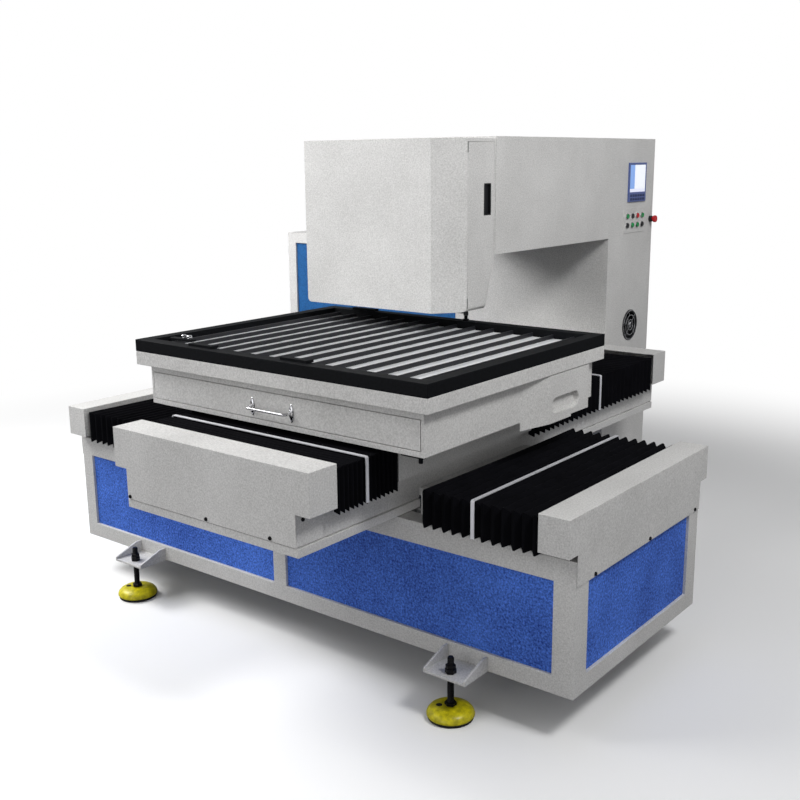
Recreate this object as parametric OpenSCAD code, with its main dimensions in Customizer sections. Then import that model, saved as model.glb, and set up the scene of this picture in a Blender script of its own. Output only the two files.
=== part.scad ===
// Laser cutting machine with a fixed cutting head and a moving cross table.
// The low base carries the saddle along X, the saddle carries the table along Y,
// and a rear column holds an arm with the cutting head over the table.
// Millimetres, +Z up, front towards -Y.

/* [Base] */
// Length of the base frame along X
base_l = 2436; // [2300:2:2600]
// Depth of the base frame along Y
base_d = 900; // [860:2:940]
// Height of the base frame
base_h = 449; // [420:1:480]
// Height of the base frame's underside above the floor
foot_h = 148; // [130:1:170]
// Width of the frame's square tube
tube = 78; // [70:1:84]
// Height of the lower frame rail
low_rail = 62; // [56:1:72]
// Width of the left and middle posts of the base frame
post = 64; // [56:1:72]
// Distance of the middle post from the middle of the base
post_off = 27; // [0:1:40]
// Depth of the blue panels behind the frame's faces
panel_recess = 10; // [6:1:16]
// Thickness of the sheet covers and panels
sheet = 3; // [2:0.5:4]

/* [Feet] */
// Distance of the feet from the middle between them
foot_x = 800; // [700:5:900]
// Middle between the feet, from the middle of the base
foot_mid = 25; // [0:5:60]
// Width of a foot bracket
bracket_w = 164; // [150:2:190]
// Reach of a foot bracket
bracket_d = 130; // [115:1:150]
// Thickness of the bracket's plates
bracket_t = 8; // [6:1:10]
// Height of the bracket's gussets
gusset_h = 52; // [40:1:58]
// Diameter of the levelling bolt
bolt_d = 22; // [18:1:24]
// Diameter of the foot pad
pad_d = 158; // [140:2:170]
// Height of the foot pad
pad_h = 44; // [38:1:50]

/* [Guides] */
// Width of a guide rail
rail_w = 34; // [30:1:40]
// Height of a guide rail
rail_h = 30; // [26:1:34]
// Height of a runner block's top above the rail's seat
runner_h = 48; // [44:1:54]
// Length of a runner block
runner_l = 110; // [90:2:140]
// Width of the linear motor
motor_w = 80; // [60:2:100]
// Height of the linear motor's magnet track
track_h = 16; // [12:1:20]

/* [End covers] */
// Length of an X end cover
xcover_l = 105; // [90:1:125]
// Top of the X end covers above the base
xcover_h = 146; // [140:1:160]
// Overhang of the X end covers at front and rear
xcover_out = 53; // [46:1:60]
// Height of the overhanging ears above the base's top
ear_gap = 24; // [16:1:30]
// Lap of an X end cover down the base's end
xcover_lap = 79; // [60:1:90]
// Length of a Y end cover
ycover_l = 123; // [100:1:140]
// Height of a Y end cover above the beam
ycover_h = 140; // [136:1:150]
// Overhang of a Y end cover beside the beam
ycover_out = 59; // [50:1:70]

/* [Bellows] */
// Height of the X bellows above the base
xbellows_h = 131; // [120:1:136]
// Overhang of the X bellows beside the base
xbellows_out = 36; // [30:1:44]
// Height of the Y bellows above the beam
ybellows_h = 127; // [120:1:132]
// Lap of the Y bellows down the beam's flanks
ybellows_lap = 24; // [16:1:40]
// Depth of a bellows fold
fold = 15; // [10:1:18]
// Thickness of the bellows cloth
cloth = 2; // [1.5:0.5:3]
// Spacing of the folds of the long bellows
fold_pitch = 38; // [28:1:46]
// Spacing of the folds of the short front bellows
fold_short = 22; // [18:1:32]
// Width of the aluminium stay across a bellows
stay_w = 12; // [8:1:16]

/* [Saddle] */
// Place of the saddle along X
saddle_x = 150; // [0:5:200]
// Length of the saddle's carriage along X
carriage_l = 1024; // [960:2:1080]
// Height of the saddle's carriage beside the beam
carriage_h = 28; // [20:1:40]
// Width of the cross beam
beam_w = 796; // [760:2:840]
// Length of the cross beam along Y
beam_l = 2418; // [2300:2:2480]
// Height of the cross beam
beam_h = 97; // [92:1:110]
// Overhang of the cross beam at the front of the base
beam_front = 493; // [450:1:520]
// Height of the cross beam's lower flange
flange_h = 29; // [20:1:34]

/* [Table] */
// Place of the table along Y
table_y = -110; // [-140:5:200]
// Width of the table
table_w = 1350; // [1300:2:1400]
// Depth of the table
table_d = 1100; // [1060:2:1140]
// Length of the table's carriage along Y
tcar_l = 816; // [760:2:860]
// Set-back of the table's carriage beside the bellows
tcar_side = 5; // [2:1:12]
// Height of the table's carriage
tcar_h = 95; // [88:1:110]
// Height of the table's body
body_h = 144; // [136:1:160]
// Set-back of the body under the rim
body_in = 27; // [20:1:40]
// Set-back of the body's left side under the rim
body_side = 50; // [40:1:60]
// Set-back of the body's right side under the rim
body_right = 35; // [30:1:60]
// Height of the grey rim
rim_h = 50; // [40:1:60]
// Height of the black slat frame
frame_h = 44; // [40:1:54]
// Width of the black slat frame's bars
bar_w = 50; // [44:1:60]
// Number of slats
slat_n = 14; // [10:1:16]
// Gap between the feet of neighbouring slats
slat_gap = 9; // [4:1:20]
// Height of a slat
slat_h = 21; // [16:1:26]
// Thickness of a slat's foot and blade
slat_t = 5; // [4:0.5:6]

/* [Drawer] */
// Height of the slag drawer's front
drawer_h = 97; // [90:1:104]
// Height of the drawer above the body's underside
drawer_z = 20; // [16:1:26]
// Margin of the drawer's front to the body's sides
drawer_side = 13; // [10:1:20]
// Depth of the slag drawer
drawer_d = 960; // [880:5:980]
// Gap round the drawer's front
drawer_gap = 2; // [1:0.5:3]
// Width of the drawer's bow handle
bow_w = 184; // [140:2:220]
// Diameter of the drawer's bow handle
bow_d = 10; // [8:1:14]

/* [Column] */
// Right face of the column, arm and hood
tower_x = 283; // [200:1:300]
// Gap between the cross beam and the column
tower_gap = 22; // [15:1:60]
// Width of the column
col_w = 828; // [800:2:860]
// Depth of the column
col_d = 466; // [440:2:520]
// Height of the plinth
plinth_h = 100; // [80:2:120]
// Width of the left cabinet
cab_w = 1288; // [1200:2:1340]
// Height of the left cabinet
cab_h = 1341; // [1280:1:1380]
// Width of the left cabinet's frame
cab_frame = 60; // [50:1:70]
// Thickness of the left cabinet's front frame
cab_front = 20; // [15:1:30]

/* [Arm and hood] */
// Gap between the hood's underside and the table
hood_gap = 50; // [44:1:80]
// Width of the arm
arm_w = 747; // [720:1:760]
// Height of the arm
arm_h = 464; // [440:2:480]
// Length of the arm
arm_l = 977; // [940:1:1000]
// Depth of the hood
hood_d = 302; // [290:1:320]
// Height of the hood
hood_h = 666; // [650:1:676]
// Step from the arm's top down to the hood's top
hood_step = 9; // [4:1:14]
// Seam between the hood and the arm
hood_seam = 8; // [4:1:10]
// Width of the hood's chamfer
hood_cx = 92; // [80:1:110]
// Depth of the hood's chamfer
hood_cy = 110; // [90:1:116]
// Radius of the hood's lower corners
hood_r = 18; // [10:1:24]
// Forward slant of the hood's lower rear edge
hood_slant = 62; // [40:1:70]
// Margin of the hood's door
door_margin = 14; // [10:1:20]

/* [Head] */
// Width of the cutting head's body
head_w = 90; // [80:2:110]
// Height of the cutting head's body
head_h = 300; // [260:5:340]
// Diameter of the cutting head's lower tube
head_tube = 50; // [40:1:60]
// Clearance of the retracted nozzle above the hood's underside
nozzle_up = 5; // [2:1:8]
// Diameter of the opening under the hood
head_hole = 140; // [110:2:160]

/* [Controls] */
// Width of the touch panel
hmi_w = 184; // [160:2:200]
// Height of the touch panel
hmi_h = 186; // [160:2:200]
// Diameter of a push button
button_d = 22; // [18:1:26]
// Spacing of the push buttons along a row
button_dx = 53; // [46:1:58]
// Spacing of the two rows of push buttons
button_dz = 44; // [40:1:52]
// Diameter of the stop button's head
estop_d = 34; // [30:1:40]
// Diameter of the ventilator
fan_d = 140; // [120:2:150]
// Number of ventilator blades
fan_n = 7; // [5:1:9]

/* [Hidden] */
$fn = 48;

// Clearances: a panel in its opening, a sliding face, a running shaft
fit = 0.5;
slide = 0.3;
run = 0.05;
// Overshoot of a cut past the face it opens
cut = 1;

// Base
bx = base_l / 2;
by = base_d / 2;
bz0 = foot_h;
bz1 = foot_h + base_h;
panel_z = [bz0 + low_rail, bz1 - tube];
mid_post = [-post_off - post / 2, -post_off + post / 2];
rail_in = 111;
rail_y = by - tube / 2 - rail_in;

// X axis
xcover_x = bx - xcover_l;
saddle_y = by + xbellows_out;
car_z = bz1 + runner_h;
car_x = [saddle_x - carriage_l / 2, saddle_x + carriage_l / 2];
beam_z = car_z + beam_h;
beam_y = [-by - beam_front, -by - beam_front + beam_l];
beam_x = [saddle_x - beam_w / 2, saddle_x + beam_w / 2];
flange_gap = 11;
flange_out = 4;
flange_z = car_z - flange_h - flange_gap;
lap_z = flange_z + flange_h;
runner_edge = 10;
runner_out = beam_w / 2 - runner_l / 2 - runner_edge;
car_y = rail_y + rail_w + runner_edge / 2;
end_t = 6;
end_gap = 10;
seam = 3;
groove = 8;
forcer_l = 3 * runner_l;
rail_end = 5;

// Y axis
yrail_x = 0.83 * beam_w / 2;
tcar_y = [table_y - tcar_l / 2, table_y + tcar_l / 2];
tcar_z = beam_z + runner_h;
ybel_y = [beam_y[0] + ycover_l, beam_y[1] - ycover_l];
ycover_w = beam_w + 2 * ycover_out;
tcar_w = ycover_w - 2 * tcar_side;

// Table heights and outline
body_z = tcar_z + tcar_h;
rim_z = body_z + body_h;
frame_z = rim_z + rim_h;
table_z = frame_z + frame_h;
table_x = [saddle_x - table_w / 2, saddle_x + table_w / 2];
tab_y = [table_y - table_d / 2, table_y + table_d / 2];
body_x = [table_x[0] + body_side, table_x[1] - body_right];
body_y = [tab_y[0] + body_in, tab_y[1] - body_in];
wall = 4;
skirt_t = 12;
skirt_gap = 6;
rim_in = 12;
ledge_in = 27;
ledge_z = frame_z + frame_h / 4;
slat_x = [table_x[0] + bar_w, table_x[1] - bar_w];
slat_pitch = (slat_x[1] - slat_x[0]) / slat_n;
slat_w = slat_pitch - slat_gap;
slat_end = ledge_in / 2;

// Drawer
dr_x = [body_x[0] + drawer_side, body_x[1] - drawer_side];
dr_z = body_z + drawer_z;
dr_front = 18;
tray_in = 6;
guide_in = 20;
guide_w = 30;
bow_out = 34;

// Column, arm and hood
col_h = table_z + hood_gap + hood_h + hood_step;
plinth_in = 30;
tie = 60;
tie_in = 150;
col_y = [beam_y[1] + tower_gap, beam_y[1] + tower_gap + col_d];
col_x = [tower_x - col_w, tower_x];
cab_x = [col_x[0] - cab_w, col_x[0]];
arm_x = [tower_x - arm_w, tower_x];
arm_y = [col_y[0] - arm_l, col_y[0]];
arm_z = [col_h - arm_h, col_h];
hood_y = [arm_y[0] - hood_seam - hood_d, arm_y[0] - hood_seam];
hood_z = [col_h - hood_step - hood_h, col_h - hood_step];
head_x = (arm_x[0] + arm_x[1]) / 2;
head_in = 140;
head_y = hood_y[0] + head_in;
post_w = 300;
post_in = 63;
foot_t = 40;
beam_in = 66;
post_x = [head_x - post_w / 2, head_x + post_w / 2];
post_y = [col_y[0] + post_in, col_y[0] + post_in + post_w];
armbeam_z = [arm_z[0] + beam_in, arm_z[1] - beam_in - sheet];
zplate_gap = 8;
zplate_y = hood_y[1] - hood_slant - zplate_gap;
zplate_w = 200;
zplate_t = 20;
zplate_up = 77;
zplate_z = [hood_z[0] + zplate_up, armbeam_z[1]];
zrail_h = 12;
zrail_w = 24;
zrunner_up = 60;
zrunner_l = 220;
zrunner_w = 72;
zrunner_gap = 4;
tube_l = 60;
neck_l = 80;
nozzle_h = 22;
nozzle_d = 30;
nozzle_tip = 8;
nozzle_bore = 2.5;
spigot_l = 14;
door_front = 9;
door_rear = 5;
door_y = [hood_y[0] + hood_cy + door_front, hood_y[1] - door_rear];
door_z = [hood_z[0] + door_margin, hood_z[1] - door_margin];
leaf_gap = 4;
door_axis = [tower_x - sheet / 2, door_y[0] - leaf_gap];
pin_d = 3;
knuckle_d = 6;
knuckle_end = 40;

// Rear doors
rdoor_gap = 2;
rdoor_in = 40;
rdoor_up = 60;
cabdoor_w = 640;
coldoor_x = [col_x[0] + rdoor_in, col_x[1] - rdoor_in];
coldoor_z = [plinth_h + rdoor_up, col_h - rdoor_up];
cabdoor_x = [cab_x[1] - rdoor_up - cabdoor_w, cab_x[1] - rdoor_up];
cabdoor_z = [plinth_h + rdoor_up, cab_h - rdoor_up];
hinge_in = 150;
rib = 14;
rib_in = 30;
latch_w = 25;
latch_in = 45;
latch_l = 140;
latch_out = 12;
rpin_d = 10;
rbarrel_d = 18;
rbarrel_l = 40;
rhinge_y = col_y[1] + rbarrel_d / 2;

// Gear inside the cabinet and the column
source_in = 140;
source_w = 440;
source_h = 520;
source_gap = 70;
fin_n = 6;
fin_h = 40;
fin_t = 4;
fin_pitch = 70;
fin_up = 60;
board_t = 4;
board_in = 60;
board_up = 250;
board_h = 1000;
drive_n = 3;
drive_t = 106;
drive_h = 220;
drive_pitch = 300;
drive_in = 30;

// Controls on the column's right face
hmi_in = 273;
hmi_down = 206;
hmi_y = col_y[0] + hmi_in;
hmi_z = col_h - hmi_down;
plate_in = 259;
plate_down = 183;
plate_y = col_y[0] + plate_in;
plate_z = hmi_z - plate_down;
plate_w = 219;
plate_h = 118;
plate_t = 3;
plate_lip = 10;
hmi_lip = 8;
hmi_t = 8;
hmi_deep = 40;
pocket = 3;
screen_t = 2;
screen_in = 10;
keys_h = 46;
collar = 3.5;
collar_h = 3;
dish = 0.6;
button_out = 9;
button_in = 14;
press = 4;
estop_in = 29;
estop_y = col_y[1] - estop_in;
estop_z = plate_z - 1;
fan_in = 257;
fan_y = col_y[0] + fan_in;
fan_up = 840;
fan_z = plinth_h + fan_up;
fan_lip = 7;
lip_t = 3;
fan_deep = 40;
fan_wall = 4;
hub_d = 50;
guard_d = 4;

// Sizes of small fittings
clamp_size = [120, 34, 9];
clamp_edge = 8;
clamp_share = [-0.3, 0.037, -0.391];
lever_x = saddle_x + 64;
lever_gap = 10;
lever_top = hood_gap - lever_gap;
lever_base = 6;
lever_reach = 95;
lever_d = 10;
switch_share = [0.19, 0.67];
switch_h = 29;
switch_t = 16;
switch_low = 31;
switch_y = 75;
switch_post = 22;
switch_tip = 14;
duct_l = 420;
duct_y = table_y + 20;
duct_out = 32;
duct_drop = 30;
duct_step = 9;
duct_top = 2;
scoop_l = 190;
scoop_d = 60;
scoop_deep = 20;

// The origin lies on the floor in the middle of the whole machine
min_x = cab_x[0];
max_x = bx + sheet;
min_y = beam_y[0];
max_y = rhinge_y + rbarrel_d / 2;
origin = [(min_x + max_x) / 2, (min_y + max_y) / 2, 0];
module place() translate(-origin) children();

// A block given by its spans along X, Y and Z
module span(x, y, z)
    translate([x[0], y[0], z[0]]) cube([x[1] - x[0], y[1] - y[0], z[1] - z[0]]);

// A span grown by d on every side of X and Y, and by dz in Z
function grow(r, d) = [r[0] - d, r[1] + d];

// A cylinder along X from x0 with length l
module rod_x(p, d, l) translate(p) rotate([0, 90, 0]) cylinder(d = d, h = l);

// A cylinder along Y
module rod_y(p, d, l) translate(p) rotate([-90, 0, 0]) cylinder(d = d, h = l);

// Welded base frame of square tube
module base_frame() color("gainsboro") {
    for (s = [-1, 1]) {
        side_y = s < 0 ? [-by, -by + tube] : [by - tube, by];
        span([-bx, bx], side_y, [bz1 - tube, bz1]);
        span([-bx, bx], side_y, [bz0, bz0 + low_rail]);
        for (x = [[-bx, -bx + post], mid_post, [bx - tube, bx]])
            span(x, side_y, [bz0, bz1]);
        end_x = s < 0 ? [-bx, -bx + tube] : [bx - tube, bx];
        span(end_x, [-by, by], [bz1 - tube, bz1]);
        span(end_x, [-by, by], [bz0, bz0 + low_rail]);
    }
    for (y = [-rail_y, 0, rail_y])
        span([-bx, bx], [y - tube / 2, y + tube / 2], [bz1 - tube, bz1]);
    span([-tube / 2, tube / 2], [-by, by], [bz1 - tube, bz1]);
}

// Blue sheet panels set back in the frame's openings
module base_panels() color("royalblue") {
    pz = grow(panel_z, -fit);
    for (s = [-1, 1]) {
        py = s * (by - panel_recess - sheet / 2);
        for (x = [[-bx + post, mid_post[0]], [mid_post[1], bx - tube]])
            span(grow(x, -fit), [py - sheet / 2, py + sheet / 2], pz);
        px = s * (bx - panel_recess - sheet / 2);
        span([px - sheet / 2, px + sheet / 2], [-by + tube + fit, by - tube - fit], pz);
    }
}

// Puts a child at each of the four feet, turned to face outwards
module at_feet()
    for (x = [foot_mid - foot_x, foot_mid + foot_x]) {
        translate([x, -by, bz0]) children();
        translate([x, by, bz0]) rotate(180) children();
    }

// Shelf with two gussets, welded to the lower rail
module foot_bracket() {
    difference() {
        span([-bracket_w / 2, bracket_w / 2], [-bracket_d, 0], [0, bracket_t]);
        translate([0, -bracket_d * 0.7, -cut]) cylinder(d = bolt_d + 2 * run, h = bracket_t + 2 * cut);
    }
    for (x = [-bracket_w / 2, bracket_w / 2 - bracket_t])
        translate([x + bracket_t, 0, bracket_t]) rotate([0, -90, 0])
            linear_extrude(bracket_t)
                polygon([[0, 0], [gusset_h - bracket_t, 0], [gusset_h - bracket_t, -bracket_d * 0.2],
                    [bracket_t, -bracket_d], [0, -bracket_d]]);
}
module foot_brackets() color("lightgrey") at_feet() foot_bracket();

// Levelling bolt with a lock nut on the shelf and a hexagon on the pad
module foot_bolt() {
    seat = pad_h * 0.6 - foot_h;
    nut = 0.8 * bolt_d;
    translate([0, -bracket_d * 0.7, 0]) {
        translate([0, 0, seat]) cylinder(d = bolt_d, h = bracket_t + 2.6 * bolt_d - seat);
        translate([0, 0, bracket_t]) cylinder(d = 1.7 * bolt_d, h = nut, $fn = 6);
        translate([0, 0, bracket_t + nut]) cylinder(d = 1.45 * bolt_d, h = nut, $fn = 6);
        translate([0, 0, pad_h - foot_h]) cylinder(d = 1.7 * bolt_d, h = nut / 2, $fn = 6);
    }
}
module foot_bolts() color("dimgrey") at_feet() foot_bolt();

// Domed foot pad on a rubber base, with a socket for the bolt
module foot_pad() {
    r = pad_d / 2;
    base = pad_h * 0.25;
    translate([0, -bracket_d * 0.7, -foot_h]) rotate_extrude()
        difference() {
            union() {
                square([r - 4, base]);
                intersection() {
                    translate([0, base]) square([r, pad_h - base]);
                    translate([0, base]) scale([1, (pad_h - base) / r * 1.25]) circle(r, $fn = 64);
                }
            }
            translate([0, pad_h * 0.6]) square([bolt_d / 2 + slide, pad_h]);
        }
}
module foot_pads() color("gold") at_feet() foot_pad();

// Guide rail section with waisted flanks
module rail_section() {
    w = rail_w / 2;
    polygon([[-w, 0], [w, 0], [w, rail_h * 0.3], [w * 0.75, rail_h * 0.45], [w * 0.75, rail_h * 0.6],
        [w, rail_h * 0.75], [w, rail_h], [-w, rail_h], [-w, rail_h * 0.75], [-w * 0.75, rail_h * 0.6],
        [-w * 0.75, rail_h * 0.45], [-w, rail_h * 0.3]]);
}

// Two X guide rails and the magnet track between them
module x_guides() color("silver") {
    half = xcover_x - rail_end;
    for (y = [-rail_y, rail_y])
        translate([-half, y, bz1]) rotate([90, 0, 90]) linear_extrude(2 * half) rail_section();
    span([-half, half], [-motor_w / 2, motor_w / 2], [bz1, bz1 + track_h]);
}

// Runner block over a rail along X
module runner_x(p) translate(p) difference() {
    span([-runner_l / 2, runner_l / 2], [-rail_w, rail_w], [rail_h * 0.2, runner_h]);
    span([-runner_l, runner_l], grow([-rail_w / 2, rail_w / 2], slide), [-cut, rail_h + slide]);
}

// X runner blocks and the linear motor's forcer under the saddle
module x_runners() color("dimgrey") {
    for (x = [-runner_out, runner_out], y = [-rail_y, rail_y])
        runner_x([saddle_x + x, y, bz1]);
    span([saddle_x - forcer_l / 2, saddle_x + forcer_l / 2], [-motor_w / 2, motor_w / 2],
        [bz1 + track_h + slide, car_z]);
}

// Folded sheet cover over one end of the X axis, lapped down the base's end
module x_end_cover() {
    y = by + xcover_out;
    z = [bz1 + ear_gap, bz1 + xcover_h];
    difference() {
        span([xcover_x, bx + sheet], [-y, y], z);
        span([xcover_x + sheet, bx], [-y + sheet, y - sheet], [z[0] - cut, z[1] - sheet]);
    }
    span([bx, bx + sheet], [-by, by], [bz1 - xcover_lap, z[1]]);
}
module x_end_covers() color("whitesmoke") {
    x_end_cover();
    mirror([1, 0, 0]) x_end_cover();
}

// Bellows: a folded sheet bent over an upturned U, lofted through ridges and valleys.
// l is its length, w its half width, z0 and z1 its lower edge and top, pitch a fold's length.
function bellows_ring(x, w, z0, z1, d) = [
    [x, -w + d, z0 + d / 2], [x, -w + d, z1 - d], [x, w - d, z1 - d], [x, w - d, z0 + d / 2],
    [x, w - d - cloth, z0 + d / 2], [x, w - d - cloth, z1 - d - cloth],
    [x, -w + d + cloth, z1 - d - cloth], [x, -w + d + cloth, z0 + d / 2]];
function bellows_rings(l, pitch) = 2 * round(l / pitch);
module bellows(l, w, z0, z1, pitch) {
    rings = bellows_rings(l, pitch);
    points = [for (i = [0 : rings]) each
        bellows_ring(i * l / rings, w, z0, z1, i % 2 == 0 ? fold : 0)];
    sides = [for (i = [0 : rings - 1], k = [0 : 7])
        [8 * i + k, 8 * i + (k + 1) % 8, 8 * i + 8 + (k + 1) % 8, 8 * i + 8 + k]];
    ends = [for (e = [0, 8 * rings]) each [for (q = [[0, 1, 6, 7], [1, 2, 5, 6], [2, 3, 4, 5]])
        e == 0 ? [for (k = [3 : -1 : 0]) q[k]] : [for (k = q) e + k]]];
    polyhedron(points, concat(sides, ends));
}

// Aluminium stay riding over the middle ridge of a bellows
module bellows_stay(l, w, z0, z1, pitch) {
    t = sheet;
    rings = bellows_rings(l, pitch);
    x = (2 * floor(rings / 4) + 1) * l / rings;
    difference() {
        span([x - stay_w / 2, x + stay_w / 2], [-w - t, w + t], [z0, z1 + t]);
        span([x - stay_w, x + stay_w], [-w, w], [z0 - cut, z1]);
    }
}

// A pair of X bellows fills the gaps between the saddle and the end covers
module x_bellows(l) {
    z = [bz1 + cloth, bz1 + xbellows_h];
    bellows(l, saddle_y, z[0], z[1], fold_pitch);
    bellows_stay(l, saddle_y, z[0] + fold, z[1], fold_pitch);
}
right_l = xcover_x - car_x[1];
left_l = xcover_x + car_x[0];
module x_bellows_right() color("black") translate([car_x[1], 0, 0]) x_bellows(right_l);
module x_bellows_left() color("black") translate([-xcover_x, 0, 0]) x_bellows(left_l);

// Y bellows between the table's carriage and the beam's end covers
module y_bellows(y0, y1, pitch) translate([saddle_x, y0, 0]) rotate(90) {
    z = [beam_z - ybellows_lap, beam_z + ybellows_h];
    w = ycover_w / 2 - sheet;
    bellows(y1 - y0, w, z[0], z[1], pitch);
    bellows_stay(y1 - y0, w, z[0] + fold, z[1], pitch);
}
module y_bellows_front() color("black") y_bellows(ybel_y[0], tcar_y[0], fold_short);
module y_bellows_rear() color("black") y_bellows(tcar_y[1], ybel_y[1], fold_pitch);

// Welded saddle: carriage on the X rails and the cross beam over it
module saddle() color("lightgrey") {
    lap = sheet;
    span(car_x, [-car_y, car_y], [car_z, car_z + carriage_h]);
    for (x = [car_x[0], car_x[1] - end_t])
        span([x, x + end_t], grow([-saddle_y, saddle_y], -fold),
            [car_z - end_gap, bz1 + xbellows_h - fold]);
    span(beam_x, [beam_y[0] + lap, beam_y[1] - lap], [car_z, beam_z]);
    for (y = [[beam_y[0] + lap, -saddle_y], [saddle_y, beam_y[1] - lap]])
        flanged(beam_x, y);
    for (x = [[beam_x[0], beam_x[0] + 2 * groove], [beam_x[1] - 2 * groove, beam_x[1]]],
            y = [[-saddle_y - cut, -car_y], [car_y, saddle_y + cut]])
        flanged(x, y);
}

// Lower part of the beam: a groove under the lap plate and a flange that stands out below it
module flanged(x, y) {
    span(x, y, [lap_z + seam, car_z + cut]);
    span(grow(x, -groove / 2), grow(y, -groove / 2), [lap_z - cut, lap_z + seam + cut]);
    span(grow(x, flange_out), y, [flange_z, lap_z]);
}

// Stepped sheet cover on one end of the cross beam
module saddle_cover() {
    x = [-ycover_w / 2, ycover_w / 2];
    difference() {
        span(x, [0, ycover_l], [beam_z, beam_z + ycover_h]);
        span(grow(x, -sheet), [sheet, ycover_l + cut], [beam_z + sheet, beam_z + ycover_h - sheet]);
    }
    span([-beam_w / 2, beam_w / 2], [0, sheet], [lap_z + seam, beam_z + sheet]);
}
module saddle_covers() color("whitesmoke") {
    translate([saddle_x, beam_y[0], 0]) saddle_cover();
    translate([saddle_x, beam_y[1], 0]) rotate(180) saddle_cover();
}

// Two Y guide rails and the magnet track on the beam
module y_guides() color("silver") {
    l = ybel_y[1] - ybel_y[0] - 2 * rail_end;
    for (x = [-yrail_x, yrail_x])
        translate([saddle_x + x, ybel_y[1] - rail_end, beam_z]) rotate([90, 0, 0])
            linear_extrude(l) rail_section();
    span([saddle_x - motor_w / 2, saddle_x + motor_w / 2], grow(ybel_y, -rail_end),
        [beam_z, beam_z + track_h]);
}

// Y runner blocks and forcer under the table's carriage
module y_runners() color("dimgrey") {
    out = tcar_l / 2 - runner_l / 2 - runner_edge;
    for (x = [-yrail_x, yrail_x], y = [-out, out])
        translate([saddle_x + x, table_y + y, beam_z]) rotate(90) runner_x([0, 0, 0]);
    span([saddle_x - motor_w / 2, saddle_x + motor_w / 2],
        [table_y - forcer_l / 2, table_y + forcer_l / 2], [beam_z + track_h + slide, tcar_z]);
}

// Table carriage: a plate on the runners with side skirts beside the rails
module table_carriage() color("darkgrey") {
    x = [saddle_x - tcar_w / 2, saddle_x + tcar_w / 2];
    span(x, tcar_y, [tcar_z, body_z]);
    for (sx = [[x[0], x[0] + skirt_t], [x[1] - skirt_t, x[1]]])
        span(sx, tcar_y, [beam_z + skirt_gap, tcar_z + cut]);
}

// Open-topped table body with the drawer's opening and its runners
module table_body() color("whitesmoke") {
    difference() {
        span(body_x, body_y, [body_z, rim_z]);
        span(grow(body_x, -wall), grow(body_y, -wall), [body_z + wall, rim_z + cut]);
        span(grow(dr_x, drawer_gap), [body_y[0] - cut, body_y[0] + wall + cut],
            [dr_z - drawer_gap, dr_z + drawer_h + drawer_gap]);
    }
    for (x = [dr_x[0] + guide_in, dr_x[1] - guide_in - guide_w])
        span([x, x + guide_w], grow(body_y, -wall), [body_z + wall, dr_z - slide]);
}

// Rectangular ring
module ring(x, y, z, wx, wy) difference() {
    span(x, y, z);
    span(grow(x, -wx), grow(y, -wy), [z[0] - cut, z[1] + cut]);
}

// Grey rim, with a raised ledge under the slats' ends at the front and the rear
module table_rim() color("whitesmoke") {
    ring(table_x, tab_y, [rim_z, frame_z], body_side + rim_in, bar_w + ledge_in);
    front = tab_y[0] + bar_w;
    rear = tab_y[1] - bar_w;
    for (y = [[front + fit, front + ledge_in], [rear - ledge_in, rear - fit]])
        span(grow(slat_x, -fit), y, [frame_z - cut, ledge_z]);
}

// Black frame round the slats
module slat_frame() color("black") ring(table_x, tab_y, [frame_z, table_z], bar_w, bar_w);

// Slats: a broad foot lying on the rim's ledges and an upright blade that carries the sheet
module slats() color("silver") {
    y = grow([tab_y[0] + bar_w, tab_y[1] - bar_w], -slat_end);
    for (i = [0 : slat_n - 1]) {
        x = slat_x[0] + (i + 0.5) * slat_pitch;
        span([x - slat_w / 2, x + slat_w / 2], y, [ledge_z, ledge_z + slat_t]);
        span([x - slat_t / 2, x + slat_t / 2], y, [ledge_z, ledge_z + slat_h]);
    }
}

// Hold-down clamps on the black frame, and the post of the lever clamp
module frame_clamps() color("black") {
    y_front = tab_y[0] + bar_w + clamp_edge - clamp_size[1];
    y_rear = tab_y[1] - clamp_edge - clamp_size[1];
    for (p = [[clamp_share[0], y_front], [clamp_share[1], y_front], [clamp_share[2], y_rear]])
        translate([saddle_x + p[0] * table_w, p[1], table_z]) difference() {
            cube(clamp_size);
            translate([-cut, clamp_size[1] * 0.7, clamp_size[2] * 0.5]) cube(clamp_size);
        }
    translate([lever_x, tab_y[1] - bar_w / 2, table_z]) {
        cylinder(d = 2.6 * lever_d, h = lever_base);
        cylinder(d = 1.4 * lever_d, h = lever_top / 2);
    }
}

// Lever of the rear clamp, turning on its post
module clamp_lever() color("black")
    translate([lever_x, tab_y[1] - bar_w / 2, table_z + lever_top / 2 + slide]) {
        cylinder(d = 2 * lever_d, h = lever_top / 2 - slide);
        rod_x([-lever_reach, 0, lever_top / 4], lever_d, lever_reach);
    }

// Suction duct box on the table's right side: chamfered front, stepped underside, finger pocket
module duct_box() color("whitesmoke") {
    out = duct_out;
    scoop_y = 0.45 * duct_l;
    translate([body_x[1], duct_y, body_z - duct_drop]) difference() {
        linear_extrude(body_h + duct_drop - duct_top)
            polygon([[0, 0], [out, 0.35 * duct_l], [out, duct_l], [0, duct_l]]);
        span([-cut, out + cut], [0.7 * duct_l, duct_l + cut], [-cut, duct_step]);
        translate([out - scoop_deep, scoop_y, 2 * duct_drop]) rotate([90, 0, 90])
            linear_extrude(scoop_deep + cut) {
                circle(d = scoop_d);
                translate([0, -scoop_d / 2]) square([scoop_l - scoop_d, scoop_d]);
                translate([scoop_l - scoop_d, 0]) circle(d = scoop_d);
            }
    }
}

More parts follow.
